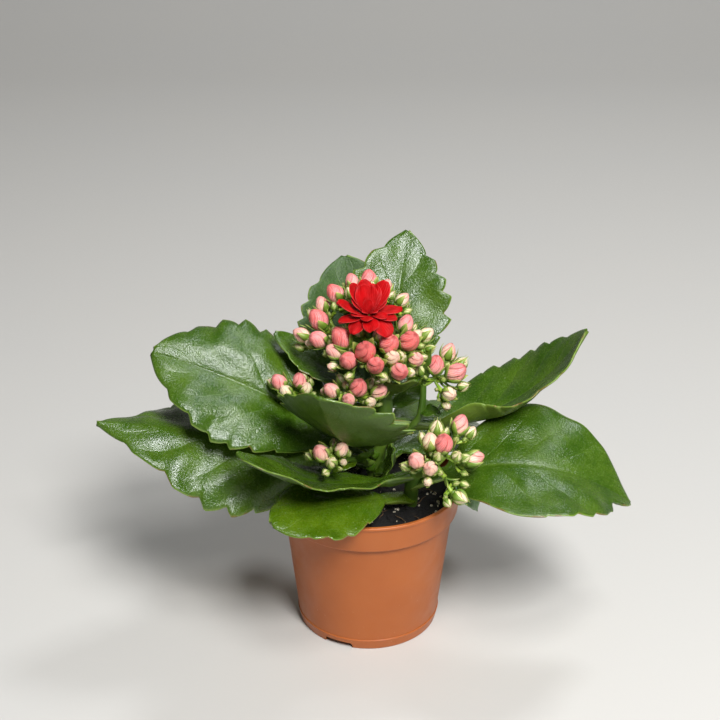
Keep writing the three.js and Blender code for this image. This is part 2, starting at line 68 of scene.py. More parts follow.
class Nodes:  # a tree that nodes are added to, empty at first
    def __init__(self, tree):
        self.tree = tree
        tree.nodes.clear()

    def add(self, kind, settings=None, inputs=None, output=0):
        node = self.tree.nodes.new(kind)
        for name, value in (settings or {}).items():
            if name == "stops":
                stops = node.color_ramp.elements
                while len(stops) < len(value):
                    stops.new(1)
                for stop, (position, colour) in zip(stops, value):
                    stop.position = position
                    stop.color = (*colour, 1)
            else:
                setattr(node, name, value)
        for name, value in (inputs or {}).items():
            for each in value if isinstance(value, list) else [value]:
                if isinstance(each, Wire):
                    self.tree.links.new(each.socket, node.inputs[name])
                else:
                    node.inputs[name].default_value = each
        return Wire(self, node.outputs[output]) if node.outputs else None

    def colour(self, factor, first, second):  # first at 0, second at 1
        first, second = [c if isinstance(c, Wire) else (*c, 1) for c in (first, second)]
        return self.add("ShaderNodeMix", {"data_type": "RGBA"}, {0: factor, 6: first, 7: second}, 2)

    def coats(self, base, *coats):  # each coat has a factor and a colour, and covers those before it
        for factor, colour in coats:
            base = self.colour(factor, base, colour)
        return base

    def ramp(self, value, low, high, start=0, end=1):  # start below low, end above high
        inputs = {0: value, 1: low, 2: high, 3: start, 4: end}
        return self.add("ShaderNodeMapRange", {"interpolation_type": "SMOOTHSTEP"}, inputs)

    def noise(self, place, size, detail=2, roughness=0.5):  # size of the spots, in millimetres
        inputs = {"Vector": place, "Scale": 1 / (size * mm), "Detail": detail, "Roughness": roughness}
        return self.add("ShaderNodeTexNoise", None, inputs)

    def sine(self, value):
        return self.add("ShaderNodeMath", {"operation": "SINE"}, {0: value})

    def stretched(self, place, factors):
        return self.add("ShaderNodeVectorMath", {"operation": "MULTIPLY"}, {0: place, 1: factors})

    def bump(self, height, depth, under=None):  # depth in millimetres
        inputs = {"Height": height, "Strength": 1, "Distance": depth * mm}
        if under:
            inputs["Normal"] = under
        return self.add("ShaderNodeBump", None, inputs)

    def attribute(self, name):  # in a material
        return self.add("ShaderNodeAttribute", {"attribute_name": name}, None, "Fac")

    def stored(self, name, kind="FLOAT"):  # in a geometry tree
        return self.add("GeometryNodeInputNamedAttribute", {"data_type": kind}, {"Name": name})

    def part(self, vector, axis):
        return self.add("ShaderNodeSeparateXYZ", None, {0: vector}, axis)

    def map(self, axis):  # X runs along a blade, Y across it
        return self.part(self.add("ShaderNodeUVMap", {"uv_map": "map"}), axis)


def material(name, dress):  # dress adds nodes and gives what goes into the surface's sockets
    made = bpy.data.materials.new(name)
    made.use_nodes = True
    nodes = Nodes(made.node_tree)
    place = nodes.add("ShaderNodeTexCoord", None, None, "Object")
    surface = nodes.add("ShaderNodeBsdfPrincipled", None, dress(nodes, place))
    nodes.add("ShaderNodeOutputMaterial", None, {"Surface": surface})
    return made


def seen(red, green, blue):  # a colour as a screen shows it, from 0 to 255
    return tuple((c / 255) ** 2.2 for c in (red, green, blue))


def soft(base, roughness, normal, weight, reach):  # reach is how far red, green and blue go inside
    return {
        "Base Color": base, "Roughness": roughness, "Normal": normal, "Subsurface Weight": weight,
        "Subsurface Radius": tuple(far * mm for far in reach), "Subsurface Scale": 1.0,
    }


def geometryTree(name, sockets, build):  # build adds nodes and gives the last one before the finish
    tree = bpy.data.node_groups.new(name, "GeometryNodeTree")
    for label, kind in sockets.items():
        tree.interface.new_socket(label, in_out="INPUT", socket_type="NodeSocket" + kind)
    tree.interface.new_socket("Result", in_out="OUTPUT", socket_type="NodeSocketGeometry")
    nodes = Nodes(tree)
    given = {label: nodes.add("NodeGroupInput", None, None, label) for label in sockets}
    smooth = nodes.add("GeometryNodeSetShadeSmooth", None, {0: build(nodes, given)})
    inputs = {"Geometry": smooth, "Material": given["Finish"]}
    nodes.add("NodeGroupOutput", None, {"Result": nodes.add("GeometryNodeSetMaterial", None, inputs)})
    return tree


def linked(name, data):  # an object in the scene
    made = bpy.data.objects.new(name, data)
    scene.collection.objects.link(made)
    return made


def settled(name, mesh, tree, values):  # what the tree makes of the mesh, as a plain mesh
    holder = linked(name + "Source", mesh)
    modifier = holder.modifiers.new("shape", "NODES")
    modifier.node_group = tree
    for item in tree.interface.items_tree:
        if item.in_out == "INPUT" and item.name in values:
            modifier[item.identifier] = values[item.name]
    graph = bpy.context.evaluated_depsgraph_get()
    evaluated = holder.evaluated_get(graph)
    made = bpy.data.meshes.new_from_object(evaluated, preserve_all_data_layers=True, depsgraph=graph)
    bpy.data.objects.remove(holder)
    made.name = name
    made.materials.clear()
    made.materials.append(values["Finish"])
    made.polygons.foreach_set("material_index", [0] * len(made.polygons))
    return made


def randomStream(seed):  # numbers from 0 to 1, the same on each run
    state = seed
    mask = 0xFFFFFFFF

    def draw():
        nonlocal state
        state = (state + 0x6D2B79F5) & mask
        t = ((state ^ (state >> 15)) * (state | 1)) & mask
        t ^= (t + (((t ^ (t >> 7)) * (t | 61)) & mask)) & mask
        return (t ^ (t >> 14)) / 2 ** 32

    return draw


def unit(vectors):
    return vectors / np.linalg.norm(vectors, axis=-1, keepdims=True)


def meshFrom(name, points, faces, corners=None, finish=None):  # corners: a map place for each face corner
    mesh = bpy.data.meshes.new(name)
    mesh.from_pydata([tuple(p) for p in points], [], faces)
    mesh.polygons.foreach_set("use_smooth", [True] * len(mesh.polygons))
    if corners is not None:
        mesh.uv_layers.new(name="map").data.foreach_set("uv", np.asarray(corners, float).ravel())
    if finish:
        mesh.materials.append(finish)
    mesh.update()
    return mesh


def store(mesh, name, values, kind="FLOAT"):
    field = "vector" if kind == "FLOAT_VECTOR" else "value"
    mesh.attributes.new(name, kind, "POINT").data.foreach_set(field, np.asarray(values, float).ravel())


def piece(name, mesh, slot, *nodes):  # a finished piece of the part, standing for those nodes
    made = linked(name, mesh)
    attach(made, "root")
    if nodes:
        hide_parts(*nodes)


def camel(node):
    first, *others = node.split("_")
    return first + "".join(word.capitalize() for word in others)


def built(name, builder):
    mesh = bpy.data.meshes.new(name)
    builder.to_mesh(mesh)
    builder.free()
    return mesh


def merged(name, meshes, outwards=False):  # several meshes as one, its normals turned outwards if asked
    builder = bmesh.new()
    for mesh in meshes:
        builder.from_mesh(mesh)
    if outwards:
        bmesh.ops.recalc_face_normals(builder, faces=builder.faces)
    made = built(name, builder)
    for finish in meshes[0].materials:
        made.materials.append(finish)
    return made


def turned(profile, sides):  # points and faces of a profile of (radius, height) turned about Z
    points, rings, faces = [], [], []
    for radius, height in profile:
        count = sides if radius > 0 else 1
        rings.append((len(points), count))
        for k in range(count):
            angle = 2 * math.pi * k / sides
            points.append((radius * math.cos(angle), radius * math.sin(angle), height))
    for (low, lowCount), (high, highCount) in zip(rings, rings[1:]):
        for k in range(sides):
            after = (k + 1) % sides
            if lowCount == 1:
                faces.append((low, high + after, high + k))
            elif highCount == 1:
                faces.append((low + k, low + after, high))
            else:
                faces.append((low + k, low + after, high + after, high + k))
    return points, faces


def skin(top, bottom):  # faces of a closed sheet from two grids of points of the same shape
    rows, columns = top.shape[:2]
    at = np.arange(rows * columns).reshape(rows, columns)
    under = rows * columns
    quads = np.stack([at[:-1, :-1], at[:-1, 1:], at[1:, 1:], at[1:, :-1]], -1).reshape(-1, 4)
    rim = np.concatenate([at[0, :-1], at[:-1, -1], at[-1, :0:-1], at[:0:-1, 0]])
    after = np.roll(rim, -1)
    edge = np.stack([rim, rim + under, after + under, after], -1)
    points = np.concatenate([top.reshape(-1, 3), bottom.reshape(-1, 3)])
    return points, np.concatenate([quads, quads[:, ::-1] + under, edge]).tolist()


def sheetMesh(name, t, v, top, bottom, finish):  # t runs from 0 to 1 along the sheet, v from -1 to 1 across
    points, faces = skin(top, bottom)
    flat = np.stack([t, (v + 1) / 2], -1).reshape(-1, 2)
    flat = np.concatenate([flat, flat])
    mesh = meshFrom(name, points * mm, faces, [flat[corner] for face in faces for corner in face], finish)
    store(mesh, "upper", np.repeat([1.0, 0.0], t.size))
    return mesh


def grid(rows, columns):  # t from 0 to 1 along a sheet, and v from -1 to 1 across it
    return np.meshgrid(np.linspace(0, 1, rows), np.linspace(-1, 1, columns), indexing="ij")


def leanTo(widest):  # the power that brings the middle of 0 to 1 to where a shape is widest
    return math.log(0.5) / math.log(widest)


view = {
    "place": (0, -435, 311),
    "tilt": 26.76,  # below level
    "turn": 0.35,
    "lens": 80,
}
studio = {
    "floorReach": 3,
    "backdropDistance": 1.1,
    "backdropBend": 0.5,
    "bendSteps": 12,
    "floorColour": seen(196, 193, 188),
    "floorPatches": (0.6, 0.56, 0.5),
    "surround": seen(196, 202, 208),
    "surroundStrength": 0.15,
    "lamps": {  # place and aim in metres, width and height, power, colour
        "keyLamp": ((0.25, -0.62, 0.8), (0, 0, 0.07), (0.27, 0.27), 12, (0.98, 0.99, 1)),
        "highLamp": ((0.16, -0.39, 0.97), (0, 0, 0.06), (0.22, 0.22), 3.5, (0.97, 0.99, 1)),
        "backLamp": ((0.32, 0.28, 0.9), (0, 0, 0.07), (0.2, 0.18), 2.7, (0.92, 0.96, 1)),
        "sideLamp": ((-0.75, -0.3, 0.4), (0, 0, 0.05), (0.3, 0.4), 0.15, (1, 0.99, 0.97)),
    },
}


def setCamera():
    lens = bpy.data.cameras.new("camera")
    lens.lens = view["lens"]
    lens.sensor_width = 36
    lens.clip_start = 0.01
    camera = linked("camera", lens)
    camera.location = Vector(view["place"]) * mm
    camera.rotation_euler = (math.radians(90 - view["tilt"]), 0, math.radians(view["turn"]))
    scene.camera = camera


def floorDress(nodes, place):
    cloudy = nodes.noise(place, 90, 4)
    grain = nodes.noise(place, 1.5, 3)
    patches = nodes.ramp(cloudy, 0.3, 0.7, 0, 0.12)
    base = nodes.colour(patches, studio["floorColour"], studio["floorPatches"])
    return {"Base Color": base, "Roughness": nodes.ramp(grain, 0.3, 0.7, 0.5, 0.6)}


def setStage():
    reach = studio["floorReach"]
    back = studio["backdropDistance"]
    bend = studio["backdropBend"]
    line = [(-reach, 0), (back - bend, 0)]
    for step in range(1, studio["bendSteps"] + 1):
        angle = math.pi / 2 * step / studio["bendSteps"]
        line.append((back - bend + bend * math.sin(angle), bend - bend * math.cos(angle)))
    line.append((back, reach))
    points = [(x, y, z) for y, z in line for x in (-reach, reach)]
    faces = [(2 * i, 2 * i + 1, 2 * i + 3, 2 * i + 2) for i in range(len(line) - 1)]
    finish = material("floorFinish", floorDress)
    floor = linked("floor", meshFrom("floor", points, faces, None, finish))
    for name, (place, aim, size, power, colour) in studio["lamps"].items():
        light = bpy.data.lights.new(name, "AREA")
        light.shape = "RECTANGLE"
        light.size, light.size_y = size
        light.energy = power
        light.color = colour
        lamp = linked(name, light)
        lamp.location = place
        lamp.rotation_euler = (Vector(aim) - Vector(place)).to_track_quat("-Z", "Y").to_euler()
    world = bpy.data.worlds.new("surround")
    world.use_nodes = True
    nodes = Nodes(world.node_tree)
    inputs = {"Color": (*studio["surround"], 1), "Strength": studio["surroundStrength"]}
    background = nodes.add("ShaderNodeBackground", None, inputs)
    nodes.add("ShaderNodeOutputWorld", None, {"Surface": background})
    scene.world = world
    scene.view_settings.view_transform = "Standard"


setCamera()
setStage()
print("camera, floor and light set")


pot = {
    "rimRadius": 30,
    "height": 50,
    "collarHeight": 9.4,
    "collarFootRadius": 28.4,
    "bodyTopRadius": 26.9,
    "bodyFootRadius": 22.7,
    "footRadius": 22.2,
    "footHeight": 3.6,
    "footLedge": 0.3,
    "wall": 1.1,
    "lipWidth": 1.3,
    "lipProud": 0.45,
    "lipHeight": 1.1,
    "lipDepth": 1.2,  # inside
    "floorUnderside": 2.6,
    "floorThickness": 1.2,
    "sides": 160,
    "arcSteps": 4,
    "besideArc": 1.6,  # how far off an extra ring keeps the flat shaded flat, in fillets
    "notches": 3,
    "notchWidth": 9.5,
    "notchHeight": 2,
    "notchCorner": 0.6,
    "notchSpan": (-3, 4),  # from outside the foot ring to inside it
    "notchTurn": -25,
    "drainRadius": 2.4,
    "drainSides": 32,
    "drainSpan": (-1, 6),
    "drainCircle": 15,
    "plastic": seen(174, 95, 44),
    "plasticDeep": seen(167, 90, 41),
    "sharpAngle": 38,
}


def rounded(corners):  # an outline of (radius, height, fillet) with its fillets as arcs
    outline = []
    for i, (radius, height, fillet) in enumerate(corners):
        here = np.array([radius, height], float)
        if not fillet:
            outline.append(tuple(here))
            continue
        before, after = np.array(corners[i - 1][:2]), np.array(corners[i + 1][:2])
        start, end = here + fillet * unit(before - here), here + fillet * unit(after - here)
        outline.append(tuple(here + pot["besideArc"] * (start - here)))
        for step in range(pot["arcSteps"] + 1):
            s = step / pot["arcSteps"]
            outline.append(tuple((1 - s) ** 2 * start + 2 * s * (1 - s) * here + s * s * end))
        outline.append(tuple(here + pot["besideArc"] * (end - here)))
    return outline


def plasticDress(nodes, place):
    cloudy = nodes.noise(place, 18, 3)
    grain = nodes.noise(place, 0.35, 2)
    height = nodes.part(place, "Z")
    scratches = nodes.noise(nodes.stretched(place, (1, 1, 0.06)), 0.5, 2, 0.7)
    scuffs = nodes.ramp(scratches, 0.68, 0.78) * nodes.ramp(nodes.noise(place, 9), 0.5, 0.65)
    dust = nodes.ramp(nodes.noise(place, 1.1, 3, 0.7), 0.68, 0.76) * nodes.ramp(height, 0.03, 0.004)
    base = nodes.coats(
        pot["plastic"],
        (nodes.ramp(cloudy, 0.3, 0.75), pot["plasticDeep"]),
        (scuffs * 0.22, seen(222, 150, 112)),
        (dust * 0.5, seen(226, 190, 160)),
    )
    roughness = nodes.ramp(nodes.noise(place, 5, 4), 0.3, 0.7, 0.36, 0.5) + scuffs * 0.15
    normal = nodes.bump(grain, 0.012, nodes.bump(nodes.noise(place, 7, 1), 0.12))
    return soft(base, roughness, normal, 0.06, (4, 1.6, 0.8))


def cutter(points, faces, turn):  # a shape that is taken out of the pot
    mesh = meshFrom("cutter", np.array(points) * mm, faces)
    mesh.transform(Matrix.Rotation(math.radians(turn), 4, "Z"))
    return mesh


def makePot():
    p = pot
    collarFoot = p["height"] - p["collarHeight"]
    floorTop = p["floorUnderside"] + p["floorThickness"]
    lipRadius = p["rimRadius"]
    bandRadius = lipRadius - p["lipProud"]
    lipFoot = p["height"] - p["lipHeight"]
    inner = lipRadius - p["lipWidth"]
    corners = [  # radius, height and fillet, from the middle of the underside to that of the floor
        (0, p["floorUnderside"], 0),
        (p["footRadius"] - p["wall"], p["floorUnderside"], 0.3),
        (p["footRadius"] - p["wall"], 0, 0.25),
        (p["footRadius"], 0, 0.35),
        (p["bodyFootRadius"] + p["footLedge"], p["footHeight"], 0.12),
        (p["bodyFootRadius"], p["footHeight"] + 0.1, 0.1),
        (p["bodyTopRadius"], collarFoot, 0.3),
        (p["collarFootRadius"], collarFoot, 0.45),
        (bandRadius, lipFoot, 0.15),
        (lipRadius, lipFoot + 0.2, 0.15),
        (lipRadius, p["height"], 0.4),
        (inner, p["height"], 0.3),
        (inner, p["height"] - p["lipDepth"], 0.2),
        (p["collarFootRadius"] - p["wall"], collarFoot + p["wall"], 0.5),
        (p["bodyTopRadius"] - p["wall"], collarFoot + p["wall"] / 2, 0.4),
        (p["bodyFootRadius"] - p["wall"], floorTop, 0.8),
        (0, floorTop, 0),
    ]
    points, faces = turned(rounded(corners), p["sides"])
    shell = linked("pot", meshFrom("pot", np.array(points) * mm, faces))
    half, tall, corner = p["notchWidth"] / 2, p["notchHeight"], p["notchCorner"]
    arch = [(-half, -1), (half, -1), (half, tall - corner), (half - corner, tall)]
    arch += [(corner - half, tall), (-half, tall - corner)]
    notchPoints = [(x, deep - p["footRadius"], z) for deep in p["notchSpan"] for x, z in arch]
    count = len(arch)
    notchFaces = [tuple(range(count)), tuple(reversed(range(count, 2 * count)))]
    notchFaces += [(k, k + count, (k + 1) % count + count, (k + 1) % count) for k in range(count)]
    low, high = p["drainSpan"]
    drainProfile = [(0, low), (p["drainRadius"], low), (p["drainRadius"], high), (0, high)]
    drainPoints, drainFaces = turned(drainProfile, p["drainSides"])
    drainPoints = [(x, y - p["drainCircle"], z) for x, y, z in drainPoints]
    cuts = []
    for i in range(p["notches"]):
        turn = p["notchTurn"] + 360 / p["notches"] * i
        cuts += [cutter(notchPoints, notchFaces, turn), cutter(drainPoints, drainFaces, turn)]
    tool = linked("cuts", merged("cuts", cuts, True))
    cut = shell.modifiers.new("cut", "BOOLEAN")
    cut.operation = "DIFFERENCE"
    cut.solver = "EXACT"
    cut.object = tool
    graph = bpy.context.evaluated_depsgraph_get()
    made = bpy.data.meshes.new_from_object(shell.evaluated_get(graph))
    bpy.data.objects.remove(shell)
    bpy.data.objects.remove(tool)
    made.materials.clear()
    made.materials.append(material("plasticFinish", plasticDress))
    made.polygons.foreach_set("use_smooth", [True] * len(made.polygons))
    made.set_sharp_from_angle(angle=math.radians(p["sharpAngle"]))
    piece("nurseryPot", made, "pot_plastic", "pot")


makePot()
print("pot made")


peat = {
    "level": 45.5,
    "mound": 1.6,
    "roughness": 1.1,
    "lumpScale": 0.22,
    "gap": 0.3,
    "sides": 120,
    "rings": 30,
    "crumbDensity": 260000,  # for each square metre
    "crumbSize": (0.35, 1.5),
    "crumbScale": 2.6,
    "crumbUneven": 0.55,
    "crumbHeight": 0.8,  # as a share of its width
    "perliteDensity": 60000,
    "perliteSize": (0.35, 1.3),
    "fibres": 46,
    "fibreLength": (3, 9),
    "fibreSpread": 0.94,  # this and the next as shares of the peat's radius
    "fibreLimit": 0.97,
    "fibreLift": (0.5, 0.9),  # of its ends, and what its middle may add
    "fibreBend": 0.9,  # in radians
    "fibreRadii": (0.05, 0.13, 0.11, 0.04),
    "seed": 21,
}


def peatHeight(x, y):  # the peat's surface in millimetres
    across = math.hypot(x, y) / pot["rimRadius"]
    lumps = noise.fractal(Vector((x, y, 3)) * peat["lumpScale"], 0.9, 2.2, 4)
    return peat["level"] + peat["mound"] * (1 - across * across) + peat["roughness"] * lumps


def peatDress(nodes, place):
    grain = nodes.noise(place, 0.6, 5, 0.75)
    patch = nodes.noise(place, 3.5, 3)
    base = nodes.coats(
        seen(7, 6, 5),
        (nodes.ramp(grain, 0.4, 0.75), seen(34, 27, 21)),
        (nodes.ramp(patch, 0.58, 0.78, 0, 0.4), seen(52, 40, 28)),
    )
    roughness = nodes.ramp(grain, 0.3, 0.7, 0.75, 0.98)
    return {"Base Color": base, "Roughness": roughness, "Normal": nodes.bump(grain, 0.5)}


def perliteDress(nodes, place):
    pits = nodes.noise(place, 0.35, 3, 0.6)
    base = nodes.colour(nodes.ramp(pits, 0.4, 0.62), seen(118, 104, 82), seen(226, 217, 196))
    return {"Base Color": base, "Roughness": 0.85, "Normal": nodes.bump(pits, 0.15)}


def fibreDress(nodes, place):
    shade = nodes.noise(place, 2, 2)
    return {"Base Color": nodes.colour(shade, seen(58, 42, 28), seen(120, 92, 62)), "Roughness": 0.8}


def crumb(name, seed, subdivisions):  # a lump about one unit across
    builder = bmesh.new()
    bmesh.ops.create_icosphere(builder, subdivisions=subdivisions, radius=0.5)
    for vertex in builder.verts:
        lump = noise.noise(vertex.co * peat["crumbScale"] + Vector((seed * 7, 0, 0)))
        vertex.co *= 1 + peat["crumbUneven"] * lump
        vertex.co.z *= peat["crumbHeight"]
    return bpy.data.objects.new(name, built(name, builder))


def scatter(nodes, given):  # lumps thrown over a surface
    points = {"Mesh": given["Surface"], "Density": given["Density"], "Seed": given["Seed"]}
    thrown = nodes.add("GeometryNodeDistributePointsOnFaces", None, points)
    turns = {1: (6.3, 6.3, 6.3), "Seed": 3}
    sizes = {2: given["Smallest"], 3: given["Largest"], "Seed": 5}
    lumps = nodes.add("GeometryNodeInstanceOnPoints", None, {
        "Points": thrown,
        "Instance": nodes.add("GeometryNodeObjectInfo", None, {0: given["Lump"]}, "Geometry"),
        "Rotation": nodes.add("FunctionNodeRandomValue", {"data_type": "FLOAT_VECTOR"}, turns),
        "Scale": nodes.add("FunctionNodeRandomValue", {"data_type": "FLOAT"}, sizes, 1),
    })
    return nodes.add("GeometryNodeRealizeInstances", None, {0: lumps})


def stalk(nodes, given):  # round stalks along the edges of a mesh, as thick as its points say
    curve = nodes.add("GeometryNodeMeshToCurve", None, {"Mesh": given["Edges"]})
    curve = nodes.add("GeometryNodeCurveSplineType", {"spline_type": "CATMULL_ROM"}, {"Curve": curve})
    curve = nodes.add("GeometryNodeSetSplineResolution", None, {0: curve, "Resolution": given["Steps"]})
    curve = nodes.add("GeometryNodeSetCurveRadius", None, {"Curve": curve, "Radius": 1})
    factor = nodes.add("GeometryNodeSplineParameter", None, None, "Factor")
    kept = {"Geometry": curve, "Name": "along", "Value": factor}
    curve = nodes.add("GeometryNodeStoreNamedAttribute", {"data_type": "FLOAT"}, kept)
    ring = nodes.add("GeometryNodeCurvePrimitiveCircle", None, {"Resolution": given["Sides"], "Radius": 1})
    inputs = {"Curve": curve, "Profile Curve": ring, "Scale": nodes.stored("girth"), "Fill Caps": True}
    return nodes.add("GeometryNodeCurveToMesh", None, inputs)


scatterTree = geometryTree("scatter", {
    "Surface": "Geometry", "Density": "Float", "Seed": "Int", "Smallest": "Float", "Largest": "Float",
    "Lump": "Object", "Finish": "Material",
}, scatter)
stalkTree = geometryTree("stalk", {
    "Edges": "Geometry", "Sides": "Int", "Steps": "Int", "Finish": "Material",
}, stalk)


def stalks(name, paths, girths, sides, steps, finish):  # paths of points in mm, with a radius at each
    points = [point for path in paths for point in path]
    edges, start = [], 0
    for path in paths:
        edges += [(start + i, start + i + 1) for i in range(len(path) - 1)]
        start += len(path)
    mesh = bpy.data.meshes.new(name)
    mesh.from_pydata([tuple(Vector(p) * mm) for p in points], edges, [])
    store(mesh, "girth", [radius * mm for girth in girths for radius in girth])
    return settled(name, mesh, stalkTree, {"Sides": sides, "Steps": steps, "Finish": finish})


def makePeat():
    p = peat
    sides, rings = p["sides"], p["rings"]
    topRadius = pot["collarFootRadius"] - pot["wall"] - p["gap"]
    shoulder = pot["height"] - pot["collarHeight"] + pot["wall"]
    bodyTop = pot["bodyTopRadius"] - pot["wall"] - p["gap"]
    bodyFoot = pot["bodyFootRadius"] - pot["wall"] - p["gap"]
    floorTop = pot["floorUnderside"] + pot["floorThickness"] + p["gap"]
    outline = [(0, floorTop), (bodyFoot, floorTop), (bodyTop, shoulder - 0.5), (topRadius, shoulder + 0.6)]
    under = 1 + (len(outline) - 1) * sides
    outline += [(topRadius * (1 - i / rings), 0) for i in range(rings + 1)]
    points, faces = turned(outline, sides)
    points = points[:under] + [(x, y, peatHeight(x, y)) for x, y, z in points[under:]]
    points = np.array(points) * mm
    finish = material("peatFinish", peatDress)
    piece("peatSoil", meshFrom("peatSoil", points, faces, None, finish), "peat", "soil")
    top = [face for face in faces if min(face) >= under]
    surface = meshFrom("peatTop", points, top)
    perliteFinish = material("perliteFinish", perliteDress)
    for name, density, seed, (least, most), fineness, finish in (
        ("peatCrumbs", p["crumbDensity"], p["seed"], p["crumbSize"], 1, finish),
        ("perlite", p["perliteDensity"], p["seed"] + 1, p["perliteSize"], 2, perliteFinish),
    ):
        values = {"Density": float(density), "Seed": seed, "Smallest": least * mm, "Largest": most * mm}
        values |= {"Lump": crumb(name + "Lump", seed, fineness), "Finish": finish}
        piece(name, settled(name, surface.copy(), scatterTree, values), "peat")
    random = randomStream(p["seed"])
    least, most = p["fibreLength"]
    lift, bow = p["fibreLift"]
    paths = []
    for _ in range(p["fibres"]):
        angle, out = 2 * math.pi * random(), topRadius * p["fibreSpread"] * math.sqrt(random())
        heading, length = 2 * math.pi * random(), least + random() * (most - least)
        path = []
        for step in range(4):
            x = out * math.cos(angle) + (step / 3 - 0.5) * length * math.cos(heading)
            y = out * math.sin(angle) + (step / 3 - 0.5) * length * math.sin(heading)
            inside = min(1, topRadius * p["fibreLimit"] / max(0.1, math.hypot(x, y)))
            x, y = x * inside, y * inside
            path.append((x, y, peatHeight(x, y) + lift + bow * random() * (step in (1, 2))))
            heading += (random() - 0.5) * p["fibreBend"]
        paths.append(path)
    girths = [p["fibreRadii"]] * len(paths)
    mesh = stalks("peatFibres", paths, girths, 5, 4, material("fibreFinish", fibreDress))
    piece("peatFibres", mesh, "peat")


makePeat()
print("peat made")


# left and right are the angles of a blade's cross-section at the midrib and at the margin, positive
# where it rises, and leftTip and rightTip are those near the tip where they differ. faces is where the
# upper side looks, and arch lifts the middle of the midrib off the straight line.

leafShape = {
    "arch": 5,
    "left": (10, 10),
    "right": (10, 10),
    "twist": 0,
    "sectionChange": (0.35, 0.75),  # where leftTip and rightTip take over, 0 at the foot and 1 at the tip
    "widest": 0.46,
    "fullness": 0.72,  # less makes a blunter outline
    "petiole": 0.14,  # share of the length
    "stalkWidth": 4.4,
    "stalkThickness": 2.6,
    "stalkFade": 0.4,  # where in the blade the stalk's width ends
    "leastHalfWidth": 0.35,
    "teeth": 6,
    "toothDepth": 1.7,
    "toothStart": 0.32,
    "toothCrest": 0.78,
    "toothUneven": 0.25,
    "toothSides": (1, 1),  # share of the tooth depth on the left and on the right
    "notch": (0, 0, 0),  # where one opens and closes on the right margin, and its depth as a share
    "wave": 0.6,
    "waves": 3,
    "thickness": (1.3, 0.9, 0.3),  # at the midrib, inside the margin and at it
    "groove": 0.25,  # along the midrib, above
    "grooveWidth": 0.9,
    "keel": 0.5,  # along the midrib, below
    "keelWidth": 1.2,
    "veins": 6,
    "veinLean": 0.3,
    "veinShift": 0.37,  # of those on the left, in spaces between veins
    "quilt": 0.3,  # how far the blade swells between its veins
    "unevenness": 0.8,
    "unevenScale": 0.11,
    "rows": 110,
    "columns": 41,
    "tone": "deep",
}
